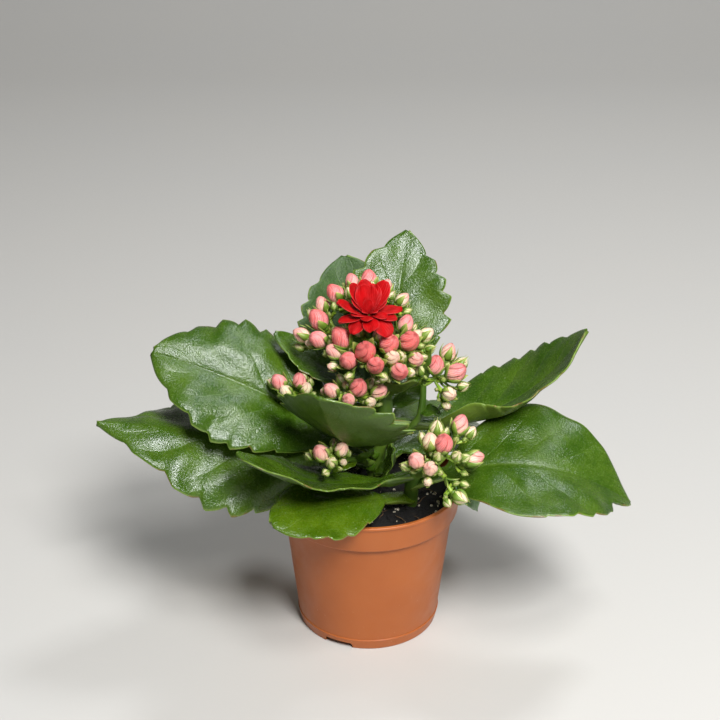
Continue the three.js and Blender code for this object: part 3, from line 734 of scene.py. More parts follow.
leaves = {
    "small_left_leaf": {
        "base": (4, 0, 81), "tip": (-29, 8, 97), "faces": (0.4, -0.4, 0.9),
        "width": 17, "arch": -3, "left": (10, 20), "right": (5, 10), "teeth": 4, "toothDepth": 1,
    },
    "head_front_leaf": {
        "base": (4, -1, 81), "tip": (14, -14, 92), "faces": (-0.3, 0.75, 0.6),
        "width": 14, "arch": -1, "teeth": 0,
    },
    "back_right_leaf": {
        "base": (4, 2, 76), "tip": (12, 30, 122), "faces": (0.02, -0.85, 0.4),
        "width": 33, "arch": 2, "left": (8, 12), "right": (8, 12), "teeth": 5, "toothDepth": 3,
        "fullness": 0.84,
    },
    "right_upper_leaf": {
        "base": (5, 0, 70), "tip": (66, 0, 102), "faces": (-0.4, -0.1, 0.9),
        "width": 34, "arch": -12.5, "left": (10, 15), "right": (2, 96), "rightTip": (12, 27), "widest": 0.4,
        "fullness": 0.66, "petiole": 0.19, "toothDepth": 2,
    },
    "inner_right_leaf": {
        "base": (4.6, 1.5, 72.5), "tip": (16, 14, 84), "faces": (-0.3, -0.8, 0.5),
        "width": 15, "arch": -1, "left": (8, 14), "right": (8, 14), "teeth": 0, "stalkWidth": 3,
    },
    "back_left_leaf": {
        "base": (2, 3, 68), "tip": (-8, 38, 110), "faces": (0.15, -0.75, 0.5),
        "width": 39, "arch": -3, "left": (15, 20), "right": (15, 20), "widest": 0.5, "teeth": 5,
        "toothDepth": 2.6, "tone": "shaded",
    },
    "front_upper_leaf": {
        "base": (2, 0, 64), "tip": (-14, -38, 99), "faces": (0.15, 0.5, 0.85),
        "width": 43, "arch": -6, "left": (5, 20), "right": (12, 28), "widest": 0.56, "toothDepth": 3.2,
        "toothSides": (1.5, 1), "tone": "fresh",
    },
    "left_upper_leaf": {
        "base": (3, 0, 59), "tip": (-66, 0, 94.5), "faces": (0.3, -0.55, 0.8),
        "width": 43, "arch": 4, "left": (14, -12), "right": (27, -19), "widest": 0.55, "toothDepth": 2.4,
        "quilt": 0.6, "unevenness": 1.2, "wave": 1,
    },
    "back_low_left_leaf": {
        "base": (2, 2, 57), "tip": (-40, 41, 74), "faces": (0.2, -0.3, 0.9),
        "width": 38, "left": (5, 5), "right": (5, 5), "teeth": 5,
    },
    "left_lower_leaf": {
        "base": (2, 0, 55), "tip": (-83, -10, 75), "faces": (0.2, -0.5, 0.9),
        "width": 49, "arch": 4, "left": (-5, -40), "leftTip": (0, -14), "right": (-22, -45),
        "widest": 0.42, "fullness": 1.1, "teeth": 5, "toothDepth": 3.6, "quilt": 0.7, "unevenness": 1.6,
        "wave": 1,
    },
    "back_low_right_leaf": {
        "base": (3, 2, 53.5), "tip": (41, 42, 43), "faces": (0, -0.2, 0.9),
        "width": 34, "arch": 8, "left": (5, 5), "right": (5, 5), "teeth": 5,
    },
    "front_small_leaf": {
        "base": (3, 0, 52.5), "tip": (7.5, -13, 66.5), "faces": (-0.3, -0.6, 0.75),
        "width": 12, "arch": -2, "teeth": 3, "toothDepth": 1, "tone": "fresh",
    },
    "back_lowest_leaf": {
        "base": (2, 3, 50), "tip": (-18, 42, 56), "faces": (0, -0.3, 0.9),
        "width": 26, "arch": 6, "left": (0, 0), "right": (0, 0), "teeth": 4, "toothDepth": 1,
    },
    "front_left_leaf": {
        "base": (14, -14.6, 60), "tip": (-38, -34, 77.5), "faces": (0.25, 0.25, 0.95),
        "width": 28, "arch": -6, "left": (9, 26), "leftTip": (3, 14), "right": (10, 4), "twist": 8,
        "widest": 0.6, "fullness": 0.55, "tone": "fresh",
    },
    "right_lower_leaf": {
        "base": (13.4, -12.6, 55), "tip": (80.5, -15, 50), "faces": (0, -0.35, 0.95),
        "width": 45, "arch": 14, "left": (8, 4), "leftTip": (12, 8), "right": (2, 16),
        "rightTip": (10, 18), "teeth": 4, "toothStart": 0.5, "fullness": 0.82, "toothSides": (0, 1),
        "notch": (0.89, 0.98, 0.8), "unevenness": 1.2,
    },
    "front_low_leaf": {
        "base": (13.1, -10.6, 49), "tip": (-28.5, -38.5, 57), "faces": (0, -0.3, 0.95),
        "width": 25.5, "arch": 3, "left": (0, 0), "right": (0, 0), "teeth": 4, "toothDepth": 1.2,
        "widest": 0.57, "fullness": 0.62, "petiole": 0.2, "tone": "lime",
    },
}
tones = {  # the upper side's dark and light green, the underside, and how much duller than others it is
    "deep": (seen(48, 76, 14), seen(72, 98, 24), seen(96, 116, 40), 0),
    # shaded: darker and duller greens, painted shade for a leaf that stands in shade
    "shaded": (seen(42, 68, 22), seen(60, 88, 36), seen(96, 116, 40), 0.3),
    "fresh": (seen(46, 70, 8), seen(68, 94, 16), seen(60, 84, 10), 0),
    "lime": (seen(62, 90, 8), seen(86, 110, 18), seen(112, 130, 44), 0),
    # silver: pale silvery greens, a painted highlight standing in for a glossy leaf margin that catches the
    # light
    "silver": (seen(96, 132, 88), seen(132, 164, 120), seen(96, 116, 60), 0),
}


def smoothstep(value, low, high):
    s = np.clip((value - low) / (high - low), 0, 1)
    return s * s * (3 - 2 * s)


def bladeHalf(leaf, t, side, seed):  # half the blade's width, and what the teeth add to it
    u = np.clip((t - leaf["petiole"]) / (1 - leaf["petiole"]), 0, 1)
    swell = np.maximum(0, np.sin(math.pi * u ** leanTo(leaf["widest"]))) ** leaf["fullness"]
    stalkHalf = leaf["stalkWidth"] / 2 * np.maximum(0, 1 - u / leaf["stalkFade"])
    half = np.maximum(stalkHalf, leaf["width"] / 2 * swell)
    if not leaf["teeth"]:
        return half, 0 * t
    along = (u - leaf["toothStart"]) / (1 - leaf["toothStart"])
    uneven = leaf["toothUneven"] * np.sin(5 * along + 2.2 * side + seed)
    part = (along * leaf["teeth"] + uneven * np.sin(math.pi * np.clip(along, 0, 1))) % 1
    crest = leaf["toothCrest"]
    rise = np.where(part < crest, (part / crest) ** 0.6, (1 - part) / (1 - crest))
    share = np.where(side < 0, *leaf["toothSides"])
    tooth = share * leaf["toothDepth"] * (rise - 0.6) * np.minimum(1, swell * 1.4)
    opens, closes, depth = leaf["notch"]
    inNotch = (side > 0) & (t > opens) & (t < closes)
    tooth = np.where(inNotch, -depth * half * (closes - t) / max(closes - opens, 0.01), tooth)
    return half, np.where((along > 0) & (along < 1), tooth, 0)


def bladeMiddle(leaf, t, v, seed):  # the blade's middle surface over grids of t, along, and v, across
    base, tip = np.array(leaf["base"], float), np.array(leaf["tip"], float)
    chord = tip - base
    ahead = unit(chord)
    up = np.array(leaf["faces"], float)
    up = unit(up - ahead * (up @ ahead))
    side = np.cross(ahead, up)
    bow = (4 * t * (1 - t))[..., None]
    middle = base + chord * t[..., None] + up * leaf["arch"] * bow
    slope = (4 - 8 * t)[..., None]
    tangent = unit(chord + up * leaf["arch"] * slope)
    turn = np.radians(leaf["twist"]) * (t - 0.5)[..., None]
    normal = up * np.cos(turn) + side * np.sin(turn)
    normal = unit(normal - tangent * (normal * tangent).sum(-1, keepdims=True))
    sideways = np.cross(tangent, normal)
    reach = np.abs(v)
    half, tooth = bladeHalf(leaf, t, np.sign(v), seed)
    half = np.maximum(leaf["leastHalfWidth"], half + tooth * reach ** 3)
    share = smoothstep(t, *leaf["sectionChange"])

    def section(place):  # the cross-section's angle at the midrib, place 0, or at the margin, place 1
        angles = []
        for name in ("left", "right"):
            atFoot, atTip = leaf[name][place], leaf.get(name + "Tip", leaf[name])[place]
            angles.append(atFoot + (atTip - atFoot) * share)
        return np.radians(np.where(v < 0, *angles))

    start, end = section(0), section(1)
    bend = np.where(np.abs(end - start) < 0.01, 0.01, end - start)
    angle = start + bend * reach
    out = half * (np.sin(angle) - np.sin(start)) / bend
    rise = half * (np.cos(start) - np.cos(angle)) / bend
    ripple = leaf["wave"] * reach ** 2 * np.sin(2 * math.pi * leaf["waves"] * t + np.sign(v))
    middle = middle + sideways * (np.sign(v) * out)[..., None] + normal * (rise + ripple)[..., None]
    return middle, half


def bladeRelief(leaf, t, v, half, middle, seed):  # the swelling of both sides, the groove and the keel
    reach = np.abs(v)
    distance = reach * half
    shrink = (1 - smoothstep(t, 0.55, 1)) * smoothstep(t, 0, leaf["petiole"])
    groove = leaf["groove"] * np.exp(-(distance / leaf["grooveWidth"]) ** 2) * shrink
    phase = leaf["veins"] * (t - leaf["veinLean"] * reach) + np.where(v < 0, leaf["veinShift"], 0)
    dome = np.abs(np.sin(math.pi * phase)) - 0.6
    between = smoothstep(distance, 0.8, 5) * (1 - reach ** 8) * np.sin(math.pi * np.clip(t, 0, 1)) ** 0.7
    shift = Vector((seed, 0, 0))
    swell = [noise.noise(Vector(p) * leaf["unevenScale"] + shift) for p in middle.reshape(-1, 3)]
    swell = np.array(swell).reshape(t.shape) * leaf["unevenness"] * smoothstep(distance, 1, 8)
    keel = leaf["keel"] * np.exp(-(distance / leaf["keelWidth"]) ** 2) * shrink
    return leaf["quilt"] * dome * between + swell, groove, keel


def bladeMesh(name, settings, seed, finish):
    leaf = leafShape | settings
    span = np.linspace(0, 0.995, leaf["rows"])
    x = np.linspace(-1, 1, leaf["columns"])
    t, v = np.meshgrid(span, np.sign(x) * np.abs(x) ** 1.25, indexing="ij")
    middle, half = bladeMiddle(leaf, t, v, seed)
    relief, groove, keel = bladeRelief(leaf, t, v, half, middle, seed)
    normal = unit(np.cross(np.gradient(middle, axis=1), np.gradient(middle, axis=0)))
    reach = np.abs(v)
    stout = 1 - smoothstep(t, leaf["petiole"] * 0.8, leaf["petiole"] * 1.6)
    thick = np.interp(reach, (0, 0.9, 1), leaf["thickness"]) * np.minimum(1, leaf["width"] / 20)
    thick = thick + stout * leaf["stalkThickness"] * np.sqrt(np.clip(1 - reach ** 2, 0, 1)) * 0.7
    top = middle + normal * (thick / 2 + relief - groove)[..., None]
    bottom = middle + normal * (relief - thick / 2 - keel)[..., None]
    return sheetMesh(name, t, v, top, bottom, finish)


def leafDress(tone):
    dark, light, under, dull = tones[tone]

    def dress(nodes, place):
        along, across = nodes.map("X"), nodes.map("Y")
        reach = abs(across * 2 - 1)
        upper = nodes.attribute("upper")
        midrib = nodes.ramp(reach, 0.01, 0.045, 1, 0) * nodes.ramp(along, 0.9, 0.3)
        phase = (along - reach * leafShape["veinLean"]) * leafShape["veins"]
        phase = phase + nodes.ramp(across, 0.499, 0.501, leafShape["veinShift"], 0)
        phase = phase + (nodes.noise(place, 9, 1) - 0.5) * 0.2
        vein = nodes.ramp(abs(phase % 1 - 0.5), 0.43, 0.5) * nodes.ramp(reach, 0.03, 0.2)
        vein = vein * nodes.ramp(reach, 0.9, 0.5)
        cloudy = nodes.noise(place, 10, 4, 0.6)
        cells = nodes.noise(place, 0.8, 3, 0.6)
        fine = nodes.noise(place, 0.45, 2, 0.6)
        margin = nodes.ramp(reach, 0.97, 0.998)
        tipped = nodes.ramp(nodes.noise(place, 5, 2), 0.55, 0.65)
        specks = nodes.ramp(nodes.noise(place, 0.8, 1), 0.76, 0.8)
        specks = specks * nodes.ramp(nodes.noise(place, 12, 1), 0.5, 0.7)
        high = nodes.coats(
            dark,
            (nodes.ramp(cloudy, 0.3, 0.72), light),
            (nodes.ramp(cells, 0.5, 0.75, 0, 0.3), light),
            (nodes.ramp(fine, 0.5, 0.72, 0, 0.22), seen(126, 152, 84)),
            (nodes.ramp(fine, 0.45, 0.3, 0, 0.25), seen(30, 52, 8)),
            (vein * 0.08, seen(108, 138, 56)),
            (midrib * 0.14, seen(126, 152, 66)),
        )
        base = nodes.coats(
            under,
            (nodes.ramp(cloudy, 0.3, 0.7, 0, 0.5), light),
            (midrib * 0.35, seen(140, 166, 90)),
            (upper, high),
            (margin * 0.6, seen(128, 152, 66)),
            (margin * tipped * 0.8, seen(112, 82, 46)),
            (specks * 0.5, seen(196, 206, 170)),
        )
        roughness = nodes.ramp(cells, 0.3, 0.7, 0.08, 0.22) + nodes.ramp(cloudy, 0.35, 0.6, 0, 0.12)
        roughness = roughness + (1 - upper) * 0.22 + dull
        normal = nodes.bump(vein, -0.05, nodes.bump(cells, 0.15, nodes.bump(fine, 0.11)))
        return soft(base, roughness, normal, 0.08, (1, 2, 0.5))

    return dress


bracts = {  # the smallest leaves, which stand on the stalks
    "forkBract": {
        "base": (15.6, -5.8, 77), "tip": (22, -9, 78), "faces": (0, -0.5, 0.85), "width": 4.6, "arch": 1,
    },
    "standingBract": {
        "base": (16.4, -7, 86.5), "tip": (18.5, -9, 100), "faces": (0.5, 0.8, 0.2), "width": 3.4,
        "arch": -1,
    },
    "foldedBract": {
        "base": (-3.6, -11.4, 63), "tip": (1.5, -16, 69.5), "faces": (-0.2, 0.7, 0.7), "width": 6,
        "arch": -1, "left": (10, 30), "right": (10, 30),
    },
    "fleshyBract": {
        "base": (-3.6, -11.4, 63), "tip": (-11, -17.5, 62), "faces": (0, -0.4, 0.9), "width": 5.4,
        "arch": 1.5, "tone": "lime",
    },
    # a small bract in the silver greens, a painted highlight on a glossy margin
    "silverBract": {
        "base": (25.5, -22, 61.5), "tip": (33, -23.5, 52.5), "faces": (0.3, -0.6, 0.7), "width": 6.5,
        "arch": 2, "tone": "silver",
    },
}
bractShape = {
    "teeth": 0, "petiole": 0.06, "stalkWidth": 1.6, "stalkThickness": 0.8, "thickness": (0.7, 0.5, 0.25),
    "groove": 0.1, "keel": 0.2, "quilt": 0, "unevenness": 0.3, "wave": 0.2, "rows": 40, "columns": 17,
    "widest": 0.42, "fullness": 0.85, "tone": "fresh",
}
leafFinishes = {tone: material(tone + "LeafFinish", leafDress(tone)) for tone in tones}
for order, (node, settings) in enumerate(leaves.items()):
    finish = leafFinishes[settings.get("tone", leafShape["tone"])]
    piece(camel(node), bladeMesh(camel(node), settings, 3.7 * order, finish), "leaf", node)
for order, (name, settings) in enumerate(bracts.items()):
    shape = bractShape | settings
    piece(name, bladeMesh(name, shape, 2.9 * order, leafFinishes[shape["tone"]]), "leaf")
print("leaves made")


stems = {
    "main_stem": {"path": ((2, 3, 30), (2, 2, 46), (3, 1, 60), (5, 0, 72), (4, 0, 88)), "radius": 2.5},
    "side_stem": {
        "path": ((11.5, -7, 32), (13, -9.5, 46), (13.4, -13, 56), (14.5, -15.5, 62)), "radius": 2.2,
    },
}


def stemDress(nodes, place):
    cloudy = nodes.noise(place, 5, 3)
    grain = nodes.noise(nodes.stretched(place, (1, 1, 0.25)), 0.7, 3, 0.6)
    along = nodes.attribute("along")
    base = nodes.coats(
        seen(64, 96, 26),
        (nodes.ramp(cloudy, 0.3, 0.7), seen(92, 122, 40)),
        (nodes.ramp(along, 0.1, 1, 0.25, 0), seen(92, 84, 42)),
    )
    roughness = nodes.ramp(grain, 0.3, 0.7, 0.38, 0.55)
    return soft(base, roughness, nodes.bump(grain, 0.08), 0.1, (1, 2, 0.5))


stemFinish = material("stemFinish", stemDress)
for node, stem in stems.items():
    radii = [stem["radius"]] * len(stem["path"])
    piece(camel(node), stalks(camel(node), [stem["path"]], [radii], 20, 10, stemFinish), "stem", node)
print("stems made")


# A cluster is a cyme: its peduncle forks into a branch for each group of buds, and each bud ends a
# pedicel. Younger buds stand beside each of the listed ones, lower and smaller, where there is room.

budShape = {
    "length": 1.3,  # this and the next five in diameters of the bud
    "footToMiddle": 0.585,
    "crease": 0.055,  # step where one furled petal laps over the next
    "sepalThickness": 0.05,
    "sepalGap": 0.015,
    "cup": ((0, -0.78), (0.13, -0.76), (0.2, -0.68), (0.29, -0.57), (0.3, -0.5), (0, -0.46)),
    "cupSides": 10,
    "sepalGrid": (7, 3),
    "sepalSpread": 0.68,  # half of its angle at the foot, in radians
    "sepalFoot": 0.05,  # how far up the bud it starts
    "widest": 0.42,
    "petals": 5,
    "acrossPetal": (0, 0.3, 0.62, 0.92),
    "furl": 0.32,  # turns from the foot to the tip
    "sepals": 4,
    "ages": (0.6, 0.34),  # above the first a bud is of the open kind, and below the second of the young
    "kinds": {  # bluntness of the bud, reach of its sepals and how far their tips stand off
        "open": {"blunt": 0.55, "rings": 13, "reach": 0.6, "flare": 0.22},
        "half": {"blunt": 0.62, "rings": 11, "reach": 0.8, "flare": 0.2},
        "young": {"blunt": 0.8, "rings": 8, "reach": 1.08, "flare": 0.14},
    },
}
cyme = {
    "youngBuds": 2,  # beside each listed bud
    "youngShare": (0.5, 0.72),  # of its elder's diameter
    "youngDrop": 0.35,
    "youngReach": 0.56,
    "youngLean": 0.35,
    "room": 0.92,
    "tinyBuds": 3,
    "tinyDiameter": (1.2, 2.2),
    "tinyLean": 0.7,
    "pedicelEnd": 0.74,  # this and the next four in diameters, down the bud's axis from its middle
    "youngEnd": 0.9,
    "tinyEnd": 1.1,
    "tinyDrop": 0.75,
    "leafletFoot": 0.95,
    "pedicelRadius": (0.52, 0.78),
    "leaflets": 3,  # round each branch's end, and one more under each listed bud
    "leafletLength": (3.5, 6),
    "branchRadius": 0.8,
    "lift": 0.5,
    "seed": 7,
}
clusters = {  # each listed bud: x, y, z, diameter, and age from 0, green, to 1, about to open
    "head_buds": {
        "seed": 1, "radius": 1.6, "branching": 0.55, "bloomRoom": 17,
        "peduncle": ((4, 0, 84), (3, -1, 90), (1, -1, 95)),
        "groups": (
            ((-10, 6, 111, 5.1, 0.85), (-5, 12, 112, 4.4, 0.75), (0, 11, 113, 5.3, 0.85),
             (5, 10, 111, 4.4, 0.55), (10, 8, 108, 4, 0.5)),
            ((-15, 0, 105, 5.7, 0.9), (-20, 0, 100, 4.6, 0.6), (-15, -5, 101, 5.1, 0.75),
             (-14, 6, 107, 4.4, 0.65)),
            ((-8, -10, 104, 5.9, 0.95), (-10, -11, 100, 4.7, 0.6), (-6, -15, 99, 5.3, 0.85),
             (-1, -15, 102, 6.2, 1), (2, -18, 99, 5.1, 0.9)),
            ((-3, -9, 106, 3.8, 0.5), (3, -10, 105, 3.8, 0.55), (6, -12, 103, 5.7, 0.9),
             (9, -18, 97, 5.1, 0.85), (7, -15, 100, 4.4, 0.4)),
            ((12, -8, 102, 5.9, 0.95), (14, -12, 98, 4.4, 0.6), (11, -1, 104, 4.8, 0.75),
             (17, 0, 100, 4.4, 0.4)),
            ((-9, 11, 107, 4.2, 0.5), (1, 16, 107, 4.6, 0.6), (10, 13, 104, 4.2, 0.4)),
        ),
    },
    "right_buds": {
        "seed": 2, "radius": 1.1, "branching": 0.4,
        "peduncle": ((4.2, 0, 66), (10, -3.4, 68), (15, -5.4, 74), (16.3, -6.2, 80), (16.5, -7, 87)),
        "groups": (
            ((20, -8, 94, 5.1, 0.8), (26, -9, 92, 5.6, 0.75), (24, -13, 87, 4.2, 0.4),
             (24, -2, 95, 4.7, 0.6), (28, -3, 92, 3.6, 0.25)),
        ),
    },
    "left_buds": {
        "seed": 3, "radius": 1.1, "branching": 0.4,
        "peduncle": ((4, 0, 75), (-6, 1, 75), (-18, -1, 77)),
        "groups": (
            ((-27, -6, 87, 4.6, 0.75), (-21, -5, 87, 4.2, 0.75), (-25, -8, 85, 3.8, 0.35),
             (-19, -6, 85, 3.6, 0.35)),
        ),
    },
    "middle_buds": {
        "seed": 4, "radius": 1, "branching": 0.4,
        "peduncle": ((5, 0, 77), (1, -5, 79), (-3, -9, 83)),
        "groups": (
            ((-11, -15, 89, 4.4, 0.65), (-3, -15, 90, 5.3, 0.85), (3, -14, 88, 4.6, 0.6),
             (-6, -19, 88, 4, 0.65), (-8, -9, 89, 3.6, 0.3)),
        ),
    },
    "low_right_buds": {
        "seed": 5, "radius": 1.1, "branching": 0.4,
        "peduncle": ((14.4, -15, 60), (17, -20.5, 64), (20, -24, 69)),
        "groups": (
            ((20, -24, 81, 4.2, 0.3), (18, -28, 79, 4.8, 0.4), (14, -32, 75, 4.8, 0.65),
             (18, -33, 73, 4.4, 0.5)),
            ((27, -20, 80, 5.1, 0.7), (22, -29, 79, 5.5, 0.85), (31, -24, 71, 5.1, 0.6)),
            ((27, -31, 62, 4.3, 0.3),),
        ),
    },
    "low_left_buds": {
        "seed": 6, "radius": 0.9, "branching": 0.3,
        "peduncle": ((2, 0, 56.3), (-0.5, -3.5, 57), (-2, -9, 61.5), (-9, -19, 68)),
        "groups": (((-14, -26, 74, 5, 0.6), (-8, -24, 74, 4.2, 0.45), (-11, -27, 71.5, 3.7, 0.25)),),
    },
}


def budRadius(s, blunt):  # in diameters, at s from foot to tip
    return 0.5 * math.sin(math.pi * min(max(s, 0.004), 0.996) ** leanTo(budShape["widest"])) ** blunt


def budHeight(s):
    return s * budShape["length"] - budShape["footToMiddle"]


def budLump(kind):  # a bud of furled petals, one diameter across, with its axis up
    shape = budShape["kinds"][kind]
    petals, across = budShape["petals"], budShape["acrossPetal"]
    sides, rings = petals * len(across), shape["rings"]
    points, edge, reach = [], [], []
    for ring in range(1, rings):
        s = 0.5 - 0.5 * math.cos(math.pi * ring / rings)
        for petal in range(petals):
            for part in across:
                angle = 2 * math.pi * ((petal + part) / petals + budShape["furl"] * s)
                step = 1 + budShape["crease"] * 2 * (part - 0.5) * smoothstep(s, 0.1, 0.5)
                radius = budRadius(s, shape["blunt"]) * step
                points.append((radius * math.cos(angle), radius * math.sin(angle), budHeight(s)))
                edge.append(part)
                reach.append(s)
    foot, tip = len(points), len(points) + 1
    points += [(0, 0, budHeight(0)), (0, 0, budHeight(1))]
    faces = []
    last = (rings - 2) * sides
    for k in range(sides):
        after = (k + 1) % sides
        faces.append((foot, after, k))
        faces.append((tip, last + k, last + after))
        for ring in range(rings - 2):
            low, high = ring * sides, (ring + 1) * sides
            faces.append((low + k, low + after, high + after, high + k))
    mesh = meshFrom(kind + "Bud", points, faces)
    store(mesh, "edge", edge + [0.5, 0.5])
    store(mesh, "reach", reach + [0, 1])
    return bpy.data.objects.new(kind + "Bud", mesh)


def calyx(kind):  # the cup under a bud and the pointed sepals on it
    shape = budShape["kinds"][kind]
    cupPoints, cupFaces = turned(budShape["cup"], budShape["cupSides"])
    parts = [(np.array(cupPoints, float), cupFaces)]
    rows, columns = grid(*budShape["sepalGrid"])
    for sepal in range(budShape["sepals"]):
        middle = 2 * math.pi * (sepal + 0.3) / budShape["sepals"]
        outer = np.zeros(rows.shape + (3,))
        inner = outer.copy()
        for index, s in np.ndenumerate(rows):
            spread = budShape["sepalSpread"] * (1 - s) ** 0.9 + 0.02
            angle = middle + columns[index] * spread
            up = budShape["sepalFoot"] + s * shape["reach"]
            base = budRadius(up, shape["blunt"]) * (1 + budShape["crease"])
            base += budShape["sepalGap"] + shape["flare"] * s ** 3
            thick = budShape["sepalThickness"] * (1 - 0.6 * abs(columns[index])) * (1 - 0.6 * s)
            height = budHeight(up)
            for side, radius in ((outer, base + thick), (inner, base)):
                side[index] = (radius * math.cos(angle), radius * math.sin(angle), height)
        parts.append(skin(inner, outer))
    points, faces, start, reach = [], [], 0, []
    for part, (spots, sides) in enumerate(parts):
        points += [tuple(spot) for spot in spots]
        faces += [tuple(corner + start for corner in face) for face in sides]
        reach += [0] * len(spots) if part == 0 else list(np.concatenate([rows.ravel()] * 2))
        start += len(spots)
    mesh = meshFrom(kind + "Calyx", points, faces)
    store(mesh, "reach", reach)
    return bpy.data.objects.new(kind + "Calyx", mesh)


def placed(nodes, given):  # a lump of its own kind at each point, turned and sized as the point says
    parts = []
    kind = nodes.stored("kind")
    for order, label in enumerate(("Open", "Half", "Young")):
        parts.append(nodes.add("GeometryNodeInstanceOnPoints", None, {
            "Points": given["Points"],
            "Selection": nodes.add("ShaderNodeMath", {"operation": "COMPARE"}, {0: kind, 1: order, 2: 0.1}),
            "Instance": nodes.add("GeometryNodeObjectInfo", None, {0: given[label]}, "Geometry"),
            "Rotation": nodes.stored("turn", "FLOAT_VECTOR"),
            "Scale": nodes.stored("size"),
        }))
    joined = nodes.add("GeometryNodeJoinGeometry", None, {0: parts})
    return nodes.add("GeometryNodeRealizeInstances", None, {0: joined})


leafletShape = {  # as shares of its length
    "halfWidth": 0.17,
    "bend": 0.22,
    "hollow": 0.3,
    "thickness": 0.03,
    "grid": (7, 3),
}


def leaflet():  # a pointed leaflet one unit long that stands on its foot and bends outwards
    shape = leafletShape
    t, v = grid(*shape["grid"])
    half = shape["halfWidth"] * np.sin(math.pi * np.clip(t, 0.06, 0.97) ** 0.75) ** 0.8
    sheet = np.stack([v * half, shape["bend"] * t ** 2 - shape["hollow"] * half * v ** 2, t], -1)
    thick = shape["thickness"] * (1 - 0.6 * np.abs(v)) * (1 - 0.6 * t)
    away = np.stack([0 * t, thick, 0 * t], -1)
    points, faces = skin(sheet - away, sheet + away)
    mesh = meshFrom("leaflet", points, faces)
    store(mesh, "reach", np.concatenate([t.ravel()] * 2))
    return bpy.data.objects.new("leaflet", mesh)


placedTree = geometryTree("placed", {
    "Points": "Geometry", "Open": "Object", "Half": "Object", "Young": "Object", "Finish": "Material",
}, placed)
kinds = list(budShape["kinds"])
budLumps = [budLump(kind) for kind in kinds]
calyxes = [calyx(kind) for kind in kinds]
leaflets = [leaflet()] * len(kinds)


def budDress(nodes, place):
    edge, reach, age = (nodes.attribute(name) for name in ("edge", "reach", "age"))
    cloudy = nodes.noise(place, 2.2, 2)
    fine = nodes.noise(place, 0.4, 3, 0.6)
    ripe = age + (cloudy - 0.5) * 0.35 + nodes.ramp(reach, 0.2, 0.9, -0.12, 0.1)
    stops = [(0, seen(158, 182, 72)), (0.22, seen(214, 218, 140)), (0.42, seen(244, 220, 184)),
             (0.62, seen(244, 180, 162)), (0.82, seen(238, 134, 134)), (1, seen(226, 92, 90))]
    grown = nodes.ramp(age, 0.3, 0.6)
    ribs = nodes.sine(edge * 30 + cloudy * 12)
    base = nodes.coats(
        nodes.add("ShaderNodeValToRGB", {"stops": stops}, {"Fac": ripe}),
        (nodes.ramp(ribs, 0.2, 0.9, 0, 0.26), seen(252, 220, 204)),
        (nodes.ramp(ribs, -0.3, -0.9, 0, 0.2) * grown, seen(204, 74, 78)),
        # painted shade in the crease where one furled petal laps over the next
        (nodes.ramp(edge, 0.16, 0, 0, 0.7), seen(160, 46, 50)),
        (nodes.ramp(reach, 0.93, 1, 0, 0.6) * grown, seen(150, 44, 40)),
        (nodes.ramp(reach, 0.3, 0.08, 0, 0.7), seen(196, 206, 116)),
        (nodes.ramp(fine, 0.55, 0.75, 0, 0.25), seen(252, 226, 212)),
    )
    roughness = nodes.ramp(fine, 0.3, 0.7, 0.42, 0.58)
    return soft(base, roughness, nodes.bump(ribs, 0.03, nodes.bump(fine, 0.06)), 0.12, (2, 1, 0.7))


def calyxDress(nodes, place):
    reach, along = nodes.attribute("reach"), nodes.attribute("along")
    cloudy = nodes.noise(place, 2.5, 2)
    fine = nodes.noise(place, 0.5, 2)
    base = nodes.coats(
        seen(120, 154, 40),
        (nodes.ramp(cloudy, 0.3, 0.7), seen(166, 190, 72)),
        # painted shade: twigs darker towards where they start inside the cluster; parts that have no along
        # get it at its darkest
        (nodes.ramp(along, 0.7, 0.05, 0, 0.7), seen(70, 104, 34)),
        (nodes.ramp(reach, 0.35, 1, 0, 0.45), seen(214, 220, 126)),
        (nodes.ramp(reach, 0.9, 1, 0, 0.5), seen(150, 96, 54)),
    )
    roughness = nodes.ramp(fine, 0.3, 0.7, 0.36, 0.5)
    return soft(base, roughness, nodes.bump(fine, 0.04), 0.12, (1, 2, 0.5))


budFinish = material("budFinish", budDress)
calyxFinish = material("calyxFinish", calyxDress)


def squareTo(axis):  # gives the direction square to the axis at each angle round it
    aside = Vector((0, 0, 1)) if abs(axis.z) < 0.9 else Vector((1, 0, 0))
    sideways = aside.cross(axis).normalized()
    onwards = axis.cross(sideways)

    def away(angle):
        return sideways * math.cos(angle) + onwards * math.sin(angle)

    return away


def within(limits, share):
    low, high = limits
    return low + (high - low) * share


